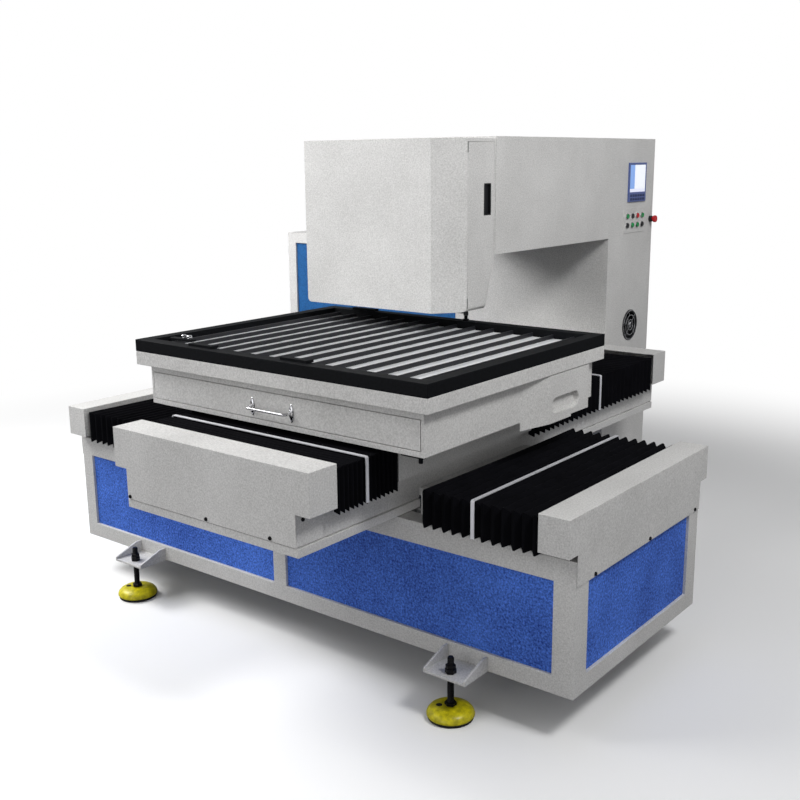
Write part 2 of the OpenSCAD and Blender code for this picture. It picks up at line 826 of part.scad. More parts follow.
// Black striker bar for the limit switch, hanging under the table's body
module switch_bar() color("black") {
    side = saddle_x + ycover_w / 2;
    x = side + (body_x[1] - side) * switch_share[0];
    x1 = side + (body_x[1] - side) * switch_share[1];
    y = [body_y[0] + switch_y, body_y[0] + switch_y + switch_t];
    z = body_z - switch_low;
    span([x, x1], y, [z, z + switch_h]);
    span([x1 - switch_post, x1], y, [z, body_z]);
    translate([x1 - switch_tip, y[0] + switch_t / 2, z - switch_t]) cylinder(d = switch_tip, h = switch_t);
}

// Slag drawer: open tray behind a front panel
module slag_drawer() color("whitesmoke") {
    z = [dr_z, dr_z + drawer_h];
    y1 = body_y[0] + drawer_d;
    span(dr_x, [body_y[0], body_y[0] + dr_front], z);
    difference() {
        span(grow(dr_x, -tray_in), [body_y[0], y1], [z[0], z[1] - tray_in]);
        span(grow(dr_x, -tray_in - sheet), [body_y[0] + dr_front, y1 - sheet], [z[0] + sheet, z[1]]);
    }
}

// Bow handle on the drawer's front
module drawer_handle() color("silver") {
    z = dr_z + 0.42 * drawer_h;
    for (x = [saddle_x - bow_w / 2, saddle_x + bow_w / 2])
        rod_y([x, body_y[0] - bow_out, z], bow_d, bow_out);
    rod_x([saddle_x - bow_w / 2 - bow_d / 2, body_y[0] - bow_out, z], bow_d, bow_w + bow_d);
}

// Plinth under the column and cabinet, tied to the base by two low beams
module rear_plinth() color("dimgrey") {
    x = [cab_x[0] + plinth_in, col_x[1] - plinth_in];
    y = grow(col_y, -plinth_in);
    ring(x, y, [0, plinth_h], tie, tie);
    span([col_x[0] - tie / 2, col_x[0] + tie / 2], y, [0, plinth_h]);
    for (tx = [col_x[0] + tie_in, col_x[1] - tie_in]) {
        span([tx - tie / 2, tx + tie / 2], [by, y[0] + cut], [plinth_h - tie, plinth_h - cut]);
        span([tx - tie / 2, tx + tie / 2], [by, by + tie], [plinth_h - tie, bz0 + low_rail]);
    }
}

// Sheet housing of the column, open at the rear for its door
module column_shell() color("whitesmoke") {
    z = [plinth_h, col_h];
    difference() {
        span(col_x, col_y, z);
        span(grow(col_x, -sheet), grow(col_y, -sheet), grow(z, -sheet));
        span(grow(coldoor_x, rdoor_gap), [col_y[1] - sheet - cut, col_y[1] + cut],
            grow(coldoor_z, rdoor_gap));
        span(grow(post_x, slide), [col_y[0] - cut, col_y[0] + sheet + cut], grow(armbeam_z, slide));
        rod_x([col_x[1] - sheet - cut, fan_y, fan_z], fan_d, sheet + 2 * cut);
        span([col_x[1] - sheet - cut, col_x[1] + cut],
            grow([hmi_y - hmi_w / 2, hmi_y + hmi_w / 2], -hmi_lip),
            grow([hmi_z - hmi_h / 2, hmi_z + hmi_h / 2], -hmi_lip));
        span([col_x[1] - sheet - cut, col_x[1] + cut],
            grow([plate_y - plate_w / 2, plate_y + plate_w / 2], -plate_lip),
            grow([plate_z - plate_h / 2, plate_z + plate_h / 2], -plate_lip));
        rod_x([col_x[1] - sheet - cut, estop_y, estop_z], 0.65 * estop_d, sheet + 2 * cut);
    }
}

// Cabinet beside the column, with a deep front frame
module cabinet_shell() color("whitesmoke") {
    z = [plinth_h, cab_h];
    difference() {
        span(cab_x, col_y, z);
        span(grow(cab_x, -sheet), [col_y[0] + cab_front, col_y[1] - sheet], grow(z, -sheet));
        span(grow(cab_x, -cab_frame), [col_y[0] - cut, col_y[0] + cab_front + cut], grow(z, -cab_frame));
        span(grow(cabdoor_x, rdoor_gap), [col_y[1] - sheet - cut, col_y[1] + cut],
            grow(cabdoor_z, rdoor_gap));
    }
}

// Blue panel set back in the cabinet's front frame
module cabinet_panel() color("steelblue")
    span(grow(cab_x, -cab_frame - fit), [col_y[0] + panel_recess, col_y[0] + panel_recess + sheet],
        grow([plinth_h, cab_h], -cab_frame - fit));

// Inner welded C-frame: post, arm and the front plate with the Z guide rail
module c_frame() color("slategrey") {
    span(post_x, post_y, [plinth_h + sheet, armbeam_z[1]]);
    span(post_x, grow(col_y, -plinth_in), [plinth_h + sheet, plinth_h + foot_t]);
    span(post_x, [zplate_y, post_y[0] + cut], armbeam_z);
    span([head_x - zplate_w / 2, head_x + zplate_w / 2], [zplate_y - zplate_t, zplate_y], zplate_z);
    span([head_x - zrail_w / 2, head_x + zrail_w / 2],
        [zplate_y - zplate_t - zrail_h, zplate_y - zplate_t], [zplate_z[0], zplate_z[1]]);
}

// Sheet housing of the arm, with a spigot that the hood pushes over
module arm_shell() color("whitesmoke") {
    spig = sheet + slide;
    spig_z = [arm_z[0], hood_z[1] - spig];
    difference() {
        union() {
            span(arm_x, arm_y, arm_z);
            span(grow(arm_x, -spig), [hood_y[1] - spigot_l, arm_y[0] + cut], spig_z);
        }
        span(grow(arm_x, -spig - sheet), [hood_y[1] - spigot_l - cut, arm_y[0] + 4 * sheet],
            [spig_z[0] + sheet, spig_z[1] - sheet]);
        span(grow(arm_x, -sheet), [arm_y[0] + 2 * sheet, arm_y[1] + cut], grow(arm_z, -sheet));
    }
}

// Hood outline: chamfered in plan, rounded at its lower corners, slanted at its lower rear
module hood_form(t) {
    x = grow(arm_x, -t);
    y = [hood_y[0] + t, hood_y[1]];
    z = grow(hood_z, -t);
    r = hood_r - t;
    k = t * 0.45;
    intersection() {
        translate([0, 0, z[0]]) linear_extrude(z[1] - z[0])
            polygon([[x[0], y[0]], [x[1] - hood_cx + k, y[0]], [x[1], y[0] + hood_cy - k],
                [x[1], y[1]], [x[0], y[1]]]);
        translate([0, y[1], 0]) rotate([90, 0, 0]) linear_extrude(y[1] - y[0]) union() {
            translate([x[0], z[0] + r]) square([x[1] - x[0], z[1] - z[0] - r]);
            translate([x[0] + r, z[0]]) square([x[1] - x[0] - 2 * r, r + cut]);
            for (cx = [x[0] + r, x[1] - r])
                translate([cx, z[0] + r]) circle(r);
        }
        translate([x[0], 0, 0]) rotate([90, 0, 90]) linear_extrude(x[1] - x[0])
            polygon([[y[0], z[0]], [y[1] - hood_slant - t, z[0]], [y[1] - t, arm_z[0] - t],
                [y[1], arm_z[0] - t], [y[1], z[1]], [y[0], z[1]]]);
    }
}

// Outline of the hood's door in its side wall, grown by d and by f at its front edge
module door_outline(d, f)
    polygon([[door_y[0] - f, door_z[0] - d], [door_y[1] - hood_slant + d, door_z[0] - d],
        [door_y[1] + d, arm_z[0]], [door_y[1] + d, door_z[1] + d], [door_y[0] - f, door_z[1] + d]]);

// Sheet hood round the cutting head, open behind and under the nozzle
module hood_shell() color("whitesmoke")
    difference() {
        hood_form(0);
        hood_form(sheet);
        translate([head_x, head_y, hood_z[0] - cut]) cylinder(d = head_hole, h = sheet + 2 * cut);
        translate([tower_x - sheet - cut, 0, 0]) rotate([90, 0, 90]) linear_extrude(sheet + 2 * cut)
            door_outline(1, 2 * leaf_gap);
    }

// Place of the grip in the hood's door
grip_in = 21;
grip_w = 51;
grip_down = 172;
grip_h = 124;
grip_t = 14;
grip_lip = 4;
grip_y = [door_y[1] - grip_in - grip_w, door_y[1] - grip_in];
grip_z = [hood_z[1] - grip_down - grip_h, hood_z[1] - grip_down];

// Narrow door in the hood's right side, turning on a rolled edge
module hood_door() color("whitesmoke") {
    x = [tower_x - sheet, tower_x];
    z = [door_z[0] + knuckle_end, door_z[1] - knuckle_end];
    difference() {
        union() {
            translate([x[0], 0, 0]) rotate([90, 0, 90]) linear_extrude(sheet) door_outline(0, 0);
            translate([door_axis[0], door_axis[1], z[0]]) cylinder(d = knuckle_d, h = z[1] - z[0]);
            span(x, [door_axis[1], door_y[0] + cut], z);
        }
        translate([door_axis[0], door_axis[1], z[0] - cut])
            cylinder(d = pin_d + 2 * run, h = z[1] - z[0] + 2 * cut);
        span(grow(x, cut), grip_y, grip_z);
    }
}

// Black recessed grip in the hood's door
module hood_door_handle() color("black") {
    difference() {
        span([tower_x - grip_t, tower_x], grow(grip_y, -fit), grow(grip_z, -fit));
        span([tower_x - grip_t + sheet, tower_x + cut], grow(grip_y, -grip_lip), grow(grip_z, -grip_lip));
    }
}

// Lower half of a rear door hinge, with its pin
module rear_hinge(x, z) {
    translate([x, rhinge_y, z]) {
        cylinder(d = rbarrel_d, h = rbarrel_l);
        cylinder(d = rpin_d, h = 2 * rbarrel_l - 4);
    }
    span([x - rbarrel_d, x], [col_y[1], rhinge_y], [z, z + rbarrel_l]);
}

// Upper half of a rear door hinge, fixed to the door
module rear_knuckle(x, z) difference() {
    union() {
        translate([x, rhinge_y, z + rbarrel_l + slide]) cylinder(d = rbarrel_d, h = rbarrel_l);
        span([x, x + rbarrel_d], [col_y[1], rhinge_y], [z + rbarrel_l + slide, z + 2 * rbarrel_l + slide]);
    }
    translate([x, rhinge_y, z]) cylinder(d = rpin_d + 2 * run, h = 3 * rbarrel_l);
}

// Heights of the two hinges of a rear door
function hinge_z(z) = [z[0] + hinge_in, z[1] - hinge_in - 2 * rbarrel_l];

// Fixed halves of the door hinges, and the hood door's pin in its two fixed knuckles
module door_hinges() color("grey") {
    for (z = hinge_z(coldoor_z)) rear_hinge(coldoor_x[0] - rdoor_gap, z);
    for (z = hinge_z(cabdoor_z)) rear_hinge(cabdoor_x[0] - rdoor_gap, z);
    low = door_z[0];
    high = door_z[1] - knuckle_end + slide;
    for (z = [low, high]) {
        translate([door_axis[0], door_axis[1], z]) cylinder(d = knuckle_d, h = knuckle_end - slide);
        span([tower_x - sheet, tower_x], [door_y[0] - 2 * leaf_gap, door_axis[1]],
            [z, z + knuckle_end - slide]);
    }
    translate([door_axis[0], door_axis[1], low]) cylinder(d = pin_d, h = door_z[1] - low);
}

// Rear service door with a turned edge, a lever latch and its hinge halves
module rear_door(x, z) {
    span(x, [col_y[1] - sheet, col_y[1]], z);
    middle = (z[0] + z[1]) / 2;
    latch_x = x[1] - latch_in;
    for (r = [x[0] + rib_in, x[1] - rib_in - rib])
        span([r, r + rib], [col_y[1] - sheet - rib, col_y[1]], grow(z, -rib_in));
    span([latch_x - latch_w, latch_x], [col_y[1], col_y[1] + latch_out], grow([middle, middle], latch_l / 2));
    for (h = hinge_z(z)) rear_knuckle(x[0] - rdoor_gap, h);
}
module column_door() color("whitesmoke") rear_door(coldoor_x, coldoor_z);
module cabinet_door() color("whitesmoke") rear_door(cabdoor_x, cabdoor_z);

// Laser source standing on the cabinet's floor
module laser_source() color("dimgrey") {
    x = [cab_x[0] + source_in, cab_x[0] + source_in + source_w];
    y = grow(col_y, -source_gap);
    z = plinth_h + sheet;
    span(x, y, [z, z + source_h]);
    for (i = [0 : fin_n - 1])
        span(grow(x, -fin_h), [y[1], y[1] + fin_t],
            [z + fin_up + fin_pitch * i, z + fin_up + fin_pitch * i + fin_h]);
}

// Mounting plate with the drives, on the column's left wall
module control_plate() color("silver") {
    x = col_x[0] + sheet;
    z = plinth_h + board_up;
    y = grow(col_y, -board_in);
    span([x, x + board_t], y, [z, z + board_h]);
    for (i = [0 : drive_n - 1])
        span([x + board_t, x + board_t + drive_t], grow(y, -drive_in),
            [z + drive_in + drive_pitch * i, z + drive_in + drive_pitch * i + drive_h]);
}

// Cutting head on its Z slide, above the hood's opening
module laser_head() color("silver") {
    z0 = hood_z[0] + nozzle_up + nozzle_h + tube_l;
    half = head_w / 2;
    runner = [zplate_z[0] + zrunner_up, zplate_z[0] + zrunner_up + zrunner_l];
    back = zplate_y - zplate_t;
    difference() {
        union() {
            span([head_x - half, head_x + half], [head_y - half, head_y + half], [z0, z0 + head_h]);
            span([head_x - zrunner_w / 2, head_x + zrunner_w / 2], [head_y, back - zrunner_gap], runner);
        }
        span(grow([head_x - zrail_w / 2, head_x + zrail_w / 2], slide),
            [back - zrail_h - slide, zplate_y], grow(runner, cut));
    }
    translate([head_x, head_y, z0 - tube_l]) cylinder(d = head_tube, h = tube_l + cut);
    translate([head_x, head_y, z0 + head_h]) cylinder(d = 0.7 * head_w, h = neck_l);
}

// Turned nozzle with its bore
module head_nozzle() color("peru") translate([head_x, head_y, hood_z[0] + nozzle_up]) difference() {
    union() {
        cylinder(d1 = nozzle_tip, d2 = nozzle_d, h = nozzle_h - nozzle_tip);
        translate([0, 0, nozzle_h - nozzle_tip]) cylinder(d = nozzle_d, h = nozzle_tip);
    }
    translate([0, 0, -cut]) cylinder(d = nozzle_bore, h = nozzle_h + 2 * cut);
}

// Touch panel's bezel on the column's wall, with a pocket for the screen
module hmi_bezel() color("steelblue") {
    y = [hmi_y - hmi_w / 2, hmi_y + hmi_w / 2];
    z = [hmi_z - hmi_h / 2, hmi_z + hmi_h / 2];
    difference() {
        union() {
            span([tower_x, tower_x + hmi_t], y, z);
            span([tower_x - hmi_deep, tower_x], grow(y, -hmi_lip - cut), grow(z, -hmi_lip - cut));
        }
        span([tower_x + hmi_t - pocket, tower_x + hmi_t + cut], grow(y, -screen_in),
            [z[0] + keys_h, z[1] - screen_in]);
    }
}

// Screen in the bezel's pocket
module hmi_screen() color("aliceblue")
    span([tower_x + hmi_t - pocket, tower_x + hmi_t - pocket + screen_t],
        grow([hmi_y - hmi_w / 2, hmi_y + hmi_w / 2], -screen_in - fit),
        [hmi_z - hmi_h / 2 + keys_h + fit, hmi_z + hmi_h / 2 - screen_in - fit]);

// Middle of push button i, counted along the two rows
function button_at(i) = [tower_x, plate_y + (i % 4 - 1.5) * button_dx,
    plate_z + (i < 4 ? 0.5 : -0.5) * button_dz];

// Plate with a collar round each push button
module button_plate() color("lightgrey") difference() {
    union() {
        span([tower_x, tower_x + plate_t], [plate_y - plate_w / 2, plate_y + plate_w / 2],
            [plate_z - plate_h / 2, plate_z + plate_h / 2]);
        for (i = [0 : 7])
            rod_x(button_at(i), button_d + 2 * collar, plate_t + collar_h);
    }
    for (i = [0 : 7])
        rod_x(button_at(i) - [cut, 0, 0], button_d + 2 * slide, plate_t + collar_h + 2 * cut);
}

// Push button with a slightly dished cap, guided by its collar
module push_button(i) translate(button_at(i)) difference() {
    rod_x([-button_in, 0, 0], button_d, button_in + plate_t + button_out);
    translate([plate_t + button_out + 2.2 * button_d, 0, 0]) sphere(2.2 * button_d + dish, $fn = 64);
}
module button_1() color("green") push_button(0);
module button_2() color("black") push_button(1);
module button_3() color("red") push_button(2);
module button_4() color("green") push_button(3);
module button_5() color("black") push_button(4);
module button_6() color("green") push_button(5);
module button_7() color("green") push_button(6);
module button_8() color("black") push_button(7);

// Fixed collar of the stop button
module estop_base() color("dimgrey") difference() {
    union() {
        rod_x([tower_x, estop_y, estop_z], 0.85 * estop_d, 14);
        rod_x([tower_x - 30, estop_y, estop_z], 0.6 * estop_d, 31);
    }
    rod_x([tower_x - 12, estop_y, estop_z], 0.4 * estop_d + 2 * slide, 30);
}

// Mushroom head of the stop button with its stem
module estop_button() color("red") translate([tower_x, estop_y, estop_z]) rotate([0, 90, 0])
    rotate_extrude() union() {
        square([0.2 * estop_d, 24]);
        translate([0, 20]) square([0.36 * estop_d, 4]);
        translate([0, 22]) square([estop_d / 2 - 3, 14]);
        translate([0, 25]) square([estop_d / 2, 8]);
        for (z = [25, 33])
            translate([estop_d / 2 - 3, z]) circle(3);
    }

// Ventilator housing through the column's wall, with struts to the motor
module fan_frame() color("dimgrey") translate([tower_x, fan_y, fan_z]) rotate([0, 90, 0]) {
    inner = fan_d - 2 * fan_wall;
    difference() {
        union() {
            cylinder(d = fan_d + 2 * fan_lip, h = lip_t);
            translate([0, 0, -fan_deep]) cylinder(d = fan_d - 2 * slide, h = fan_deep + cut);
        }
        translate([0, 0, -fan_deep - cut]) cylinder(d = inner, h = fan_deep + lip_t + 2 * cut);
    }
    translate([0, 0, -fan_deep]) cylinder(d = hub_d, h = 16);
    for (a = [0 : 120 : 359])
        rotate(a + 30) translate([0, -4, -fan_deep]) cube([inner / 2 + 1, 8, 5]);
}

// Ventilator rotor: hub and pitched blades
module fan_rotor() color("darkgrey") translate([tower_x - fan_deep + 16 + slide, fan_y, fan_z])
    rotate([0, 90, 0]) {
        tip = fan_d / 2 - fan_wall - 3;
        cylinder(d = hub_d, h = 18);
        for (i = [0 : fan_n - 1])
            rotate(i * 360 / fan_n) intersection() {
                translate([hub_d / 2 - 3, 0, 9]) rotate([35, 0, 0]) translate([0, -12, -1])
                    cube([tip - hub_d / 2 + 3, 24, 2]);
                cylinder(r = tip, h = 18);
            }
    }

// Guard rings and stays in front of the ventilator
module fan_guard() color("silver") translate([tower_x + lip_t, fan_y, fan_z]) rotate([0, 90, 0]) {
    outer = fan_d / 2 + 5;
    for (i = [1 : 4])
        difference() {
            cylinder(r = outer * i / 4, h = guard_d);
            translate([0, 0, -cut]) cylinder(r = outer * i / 4 - guard_d, h = guard_d + 2 * cut);
        }
    for (a = [45, 135])
        rotate(a) translate([-outer + 1, -guard_d / 2, 0]) cube([2 * outer - 2, guard_d, guard_d - 1]);
}

place() base_frame();
place() base_panels();
place() foot_brackets();
place() foot_bolts();
place() foot_pads();
place() x_guides();
place() x_end_covers();
place() rear_plinth();
place() column_shell();
place() cabinet_shell();
place() cabinet_panel();
place() c_frame();
place() arm_shell();
place() hood_shell();
place() laser_source();
place() control_plate();
place() hmi_bezel();
place() hmi_screen();
place() button_plate();
place() estop_base();
place() fan_frame();
place() fan_guard();
place() door_hinges();
place() hood_door();
place() hood_door_handle();
place() column_door();
place() cabinet_door();
place() laser_head();
place() head_nozzle();
place() saddle();
place() saddle_covers();
place() x_runners();
place() y_guides();
place() table_carriage();
place() y_runners();
place() table_body();
place() table_rim();
place() slat_frame();
place() slats();
place() frame_clamps();
place() duct_box();
place() switch_bar();
place() slag_drawer();
place() drawer_handle();
place() clamp_lever();
place() x_bellows_right();
place() x_bellows_left();
place() y_bellows_front();
place() y_bellows_rear();
place() button_1();
place() button_2();
place() button_3();
place() button_4();
place() button_5();
place() button_6();
place() button_7();
place() button_8();
place() estop_button();
place() fan_rotor();
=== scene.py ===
# %% [markdown]
# # Dressing a laser cutting machine
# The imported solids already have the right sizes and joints. Here they get their paint, and
# the pieces that are easier to shape as meshes are added: the pleated bellows with their
# aluminium stays, threaded feet, screws, the bow handle, the ventilator's guard, the fittings of
# the control panel, the clamp lever, a sheet stop and the rear louvres.

# %% Load the frame
import math
import random

import bpy
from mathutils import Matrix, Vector


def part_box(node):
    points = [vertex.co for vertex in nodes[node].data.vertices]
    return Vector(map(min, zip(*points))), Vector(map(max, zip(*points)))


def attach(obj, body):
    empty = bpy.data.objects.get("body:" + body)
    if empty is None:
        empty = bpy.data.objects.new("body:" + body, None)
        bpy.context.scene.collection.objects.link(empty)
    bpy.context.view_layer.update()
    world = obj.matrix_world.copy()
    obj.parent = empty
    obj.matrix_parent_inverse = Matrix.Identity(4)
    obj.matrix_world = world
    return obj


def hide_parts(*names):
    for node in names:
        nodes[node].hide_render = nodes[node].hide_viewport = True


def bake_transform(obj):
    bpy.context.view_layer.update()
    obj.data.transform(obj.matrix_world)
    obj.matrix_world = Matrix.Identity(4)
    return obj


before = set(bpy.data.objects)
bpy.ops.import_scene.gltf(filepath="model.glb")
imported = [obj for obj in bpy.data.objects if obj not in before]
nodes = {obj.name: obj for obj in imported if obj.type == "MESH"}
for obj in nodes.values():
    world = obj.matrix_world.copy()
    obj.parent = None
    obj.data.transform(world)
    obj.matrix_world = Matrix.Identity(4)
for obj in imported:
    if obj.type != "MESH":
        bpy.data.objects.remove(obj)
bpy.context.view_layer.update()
MM = 0.001

# %% [markdown]
# ## Camera
# The photograph was taken from the front right, a little above the table, with a normal lens.
# The turn, the tilt and a slight roll were worked out from the machine's own straight edges,
# so the camera can be placed from those angles without any fitting by eye.

# %% Place the camera
CAMERA_AT = (2.9172, -3.5597, 1.7644)
TURN = math.radians(38.43)
TILT = math.radians(13.01)
ROLL = math.radians(-0.53)
LENS_MM = 47.01
SENSOR_MM = 36
VIEW_FAR = 60

back = Vector((math.sin(TURN) * math.cos(TILT), -math.cos(TURN) * math.cos(TILT), math.sin(TILT)))
right = Vector((math.cos(TURN), math.sin(TURN), 0))
up = back.cross(right)
rolled_right = math.cos(ROLL) * right + math.sin(ROLL) * up
rolled_up = math.cos(ROLL) * up - math.sin(ROLL) * right

bpy.ops.object.select_all(action="DESELECT")
bpy.ops.object.camera_add(location=CAMERA_AT)
camera = bpy.context.object
camera.name = "photo_camera"
camera.data.lens = LENS_MM
camera.data.sensor_width = SENSOR_MM
camera.data.clip_end = VIEW_FAR
for row in range(3):
    for column, axis in enumerate((rolled_right, rolled_up, back)):
        camera.matrix_world[row][column] = axis[row]
bpy.context.scene.camera = camera
print("camera at", CAMERA_AT, "lens", LENS_MM, "mm")

# %% [markdown]
# ## Helpers for materials
# Colours are easiest to read as the hex values of a paint chart, which are in sRGB, while the
# shader wants linear values. One function turns one into the other, and a second adds a node
# with its settings and links, so that each material below reads as a short list of nodes.

# %% Colour and node helpers
def srgb(code):
    """A hex colour as linear red, green, blue and alpha."""
    parts = [int(code[i:i + 2], 16) / 255 for i in (1, 3, 5)]
    return tuple(c / 12.92 if c <= 0.04045 else ((c + 0.055) / 1.055) ** 2.4 for c in parts) + (1.0,)


def add(tree, kind, inputs, **settings):
    """A new node; an input given as (node, output) is linked, any other is set."""
    node = tree.nodes.new(kind)
    for key, value in settings.items():
        setattr(node, key, value)
    for key, value in inputs.items():
        if isinstance(value, tuple) and isinstance(value[0], bpy.types.Node):
            tree.links.new(value[0].outputs[value[1]], node.inputs[key])
        else:
            node.inputs[key].default_value = value
    return node


def start_material(name):
    """An empty material, its node tree and the piece's own coordinates."""
    material = bpy.data.materials.new(name)
    material.use_nodes = True
    material.node_tree.nodes.clear()
    return material, material.node_tree, add(material.node_tree, "ShaderNodeTexCoord", {})


def per_mm(size):
    """Pattern scale that repeats every size millimetres."""
    return 1000.0 / size

# %% [markdown]
# ## Powder coat
# Nearly every sheet and tube of the machine is powder coated. The powder melts into a skin with
# an orange-peel surface a millimetre or two across, which breaks up the gloss, and its colour is
# never quite even. Three noises do this: a mottle and a broad, faint grime for the colour, and a
# fine peel for the bump. The peel is drawn a few times coarser than the real one, which would
# vanish at this distance.
# On the blue coat the mottle swings much wider: its pale and deep patches are painted light and painted shade
# of the texture.

# %% Powder coat finishes
PEEL_MM = 5
PEEL_DEEP = 1 * MM
GRIME_MM = 260
GRIME_SHARE = 0.25
MOTTLE_RANGE = (0.34, 0.66)
GLOSS_SWING = 0.08
RESIN_IOR = 1.5


def powder_coat(name, light, dark, mottle_mm, roughness, bump, gleam=0.4):
    """A coat between two tones, with the size of its mottle, its peel's strength and its gleam."""
    material, tree, place = start_material(name)
    mottle = add(tree, "ShaderNodeTexNoise", {"Vector": (place, "Object"), "Scale": per_mm(mottle_mm),
        "Detail": 3.0, "Roughness": 0.65})
    grime = add(tree, "ShaderNodeTexNoise", {"Vector": (place, "Object"), "Scale": per_mm(GRIME_MM),
        "Detail": 4.0, "Roughness": 0.6})
    tone = add(tree, "ShaderNodeMix", {"Factor": GRIME_SHARE, "A": (mottle, "Fac"), "B": (grime, "Fac")},
        data_type="FLOAT")
    spread = add(tree, "ShaderNodeMapRange", {"Value": (tone, "Result"), "From Min": MOTTLE_RANGE[0],
        "From Max": MOTTLE_RANGE[1]})
    colour = add(tree, "ShaderNodeMix", {"Factor": (spread, "Result"), "A": srgb(dark), "B": srgb(light)},
        data_type="RGBA")
    peel = add(tree, "ShaderNodeTexNoise", {"Vector": (place, "Object"), "Scale": per_mm(PEEL_MM),
        "Detail": 2.0})
    relief = add(tree, "ShaderNodeBump", {"Height": (peel, "Fac"), "Strength": bump, "Distance": PEEL_DEEP})
    gloss = add(tree, "ShaderNodeMapRange", {"Value": (grime, "Fac"), "To Min": roughness - GLOSS_SWING,
        "To Max": roughness + GLOSS_SWING})
    shader = add(tree, "ShaderNodeBsdfPrincipled", {"Base Color": (colour, "Result"),
        "Roughness": (gloss, "Result"), "Normal": (relief, "Normal"), "IOR": RESIN_IOR,
        "Specular IOR Level": gleam})
    add(tree, "ShaderNodeOutputMaterial", {"Surface": (shader, "BSDF")})
    return material


# Covers and tubes: a soft sheen with a fine, low speckle
grey_coat = powder_coat("pale_grey_powder_coat", "#DEDDDB", "#B7B6B4", 5.5, 0.55, 0.35)
# Base panels: a coarse texture with little gloss; the wide swing between pale and deep blue patches is
# painted light and painted shade, standing for lit crests and shaded hollows
blue_coat = powder_coat("blue_textured_powder_coat", "#5E90FA", "#0F2C80", 7.5, 0.6, 0.6, 0.2)
# Cabinet panel: a smoother and more even blue
cabinet_blue_coat = powder_coat("light_blue_powder_coat", "#2264A4", "#164A7C", 8, 0.55, 0.3, 0.25)
# Slat frame: deep and dull, so only its edges catch light
black_coat = powder_coat("black_satin_powder_coat", "#0E1014", "#060709", 9, 0.65, 0.4, 0.1)
# Foot pads: glossier than the rest, with larger worn patches
yellow_coat = powder_coat("yellow_enamel", "#E6D91C", "#A39A0A", 20, 0.35, 0.25)
# Plinth and inner frame: a neutral dark grey
charcoal_coat = powder_coat("charcoal_powder_coat", "#3A3C40", "#26282B", 9, 0.5, 0.3)
coats = (grey_coat, blue_coat, cabinet_blue_coat, black_coat, yellow_coat, charcoal_coat)
print("coats:", [coat.name for coat in coats])

# %% [markdown]
# ## Metals, cloth and plastics
# The metals differ in how they were worked. Grinding and turning leave long scratches, so that
# noise is drawn out along X and Y. Plating, blackening and anodising leave an even grain. The
# oxide on anodised aluminium scatters light before it reaches the metal, so it is half metallic.

# %% Metals
EVEN_GRAIN = (1, 1, 1)
LONG_GRAIN = (0.1, 0.1, 1)
SCRATCH_DEEP = 0.5 * MM
SCRATCH_TINT = 0.75
GLOSS_SPREAD = (0.7, 1.4)


def worked_metal(name, colour, roughness, scratch_mm, stretch, metallic=1.0):
    """Metal with scratches of a given width, drawn out along the axes that stretch squeezes."""
    material, tree, place = start_material(name)
    stretched = add(tree, "ShaderNodeMapping", {"Vector": (place, "Object"), "Scale": stretch})
    scratch = add(tree, "ShaderNodeTexNoise", {"Vector": (stretched, "Vector"),
        "Scale": per_mm(scratch_mm), "Detail": 5.0, "Roughness": 0.7})
    gloss = add(tree, "ShaderNodeMapRange", {"Value": (scratch, "Fac"), "From Min": 0.3, "From Max": 0.7,
        "To Min": roughness * GLOSS_SPREAD[0], "To Max": min(1.0, roughness * GLOSS_SPREAD[1])})
    tint = add(tree, "ShaderNodeMapRange", {"Value": (scratch, "Fac"), "To Min": SCRATCH_TINT, "To Max": 1.0})
    shade = add(tree, "ShaderNodeMix", {"Factor": 1.0, "A": srgb(colour), "B": (tint, "Result")},
        data_type="RGBA", blend_type="MULTIPLY")
    relief = add(tree, "ShaderNodeBump", {"Height": (scratch, "Fac"), "Strength": 0.15,
        "Distance": SCRATCH_DEEP})
    shader = add(tree, "ShaderNodeBsdfPrincipled", {"Base Color": (shade, "Result"), "Metallic": metallic,
        "Roughness": (gloss, "Result"), "Normal": (relief, "Normal")})
    add(tree, "ShaderNodeOutputMaterial", {"Surface": (shader, "BSDF")})
    return material


# Stays: pale and matt, almost white
anodised = worked_metal("anodised_aluminium", "#FAFAFF", 0.5, 4, EVEN_GRAIN, 0.5)
# Guides: bright, with long streaks in the gloss
ground_steel = worked_metal("ground_steel", "#B5B8BC", 0.25, 3, LONG_GRAIN)
# Screws, rods and nuts: dark, with a dull highlight
black_steel = worked_metal("blackened_steel", "#2B2B2D", 0.45, 4, EVEN_GRAIN)
# Hinges and drive plate: a grey, cloudy gloss
zinc = worked_metal("zinc_plated_steel", "#A8AAA6", 0.35, 5, EVEN_GRAIN)
# Handle, guard and rings: a mirror with hardly any grain
chrome = worked_metal("chrome_plate", "#E6E6E8", 0.08, 12, EVEN_GRAIN)
# Nozzle: warm, with fine rings from the lathe
turned_brass = worked_metal("turned_brass", "#C79A55", 0.22, 2, LONG_GRAIN)

# %% [markdown]
# A slat is one piece of steel with two looks: its broad foot stays bright under the sheet, while
# its upright blade is blackened by the beam. The height in the slat's own coordinates tells them
# apart just above the foot, and a noise makes the burnt edge uneven.

# %% Slat steel
slat_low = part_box("slats")[0]
SPLIT_MM = 6
SOOT_MM = 45
SOOT_WAVE = 2 * MM
STREAK_MM = 8
STREAK_STRETCH = (1, 0.05, 1)
WORN_STEEL = "#CCCED0"
FOOT_METAL = 0.2


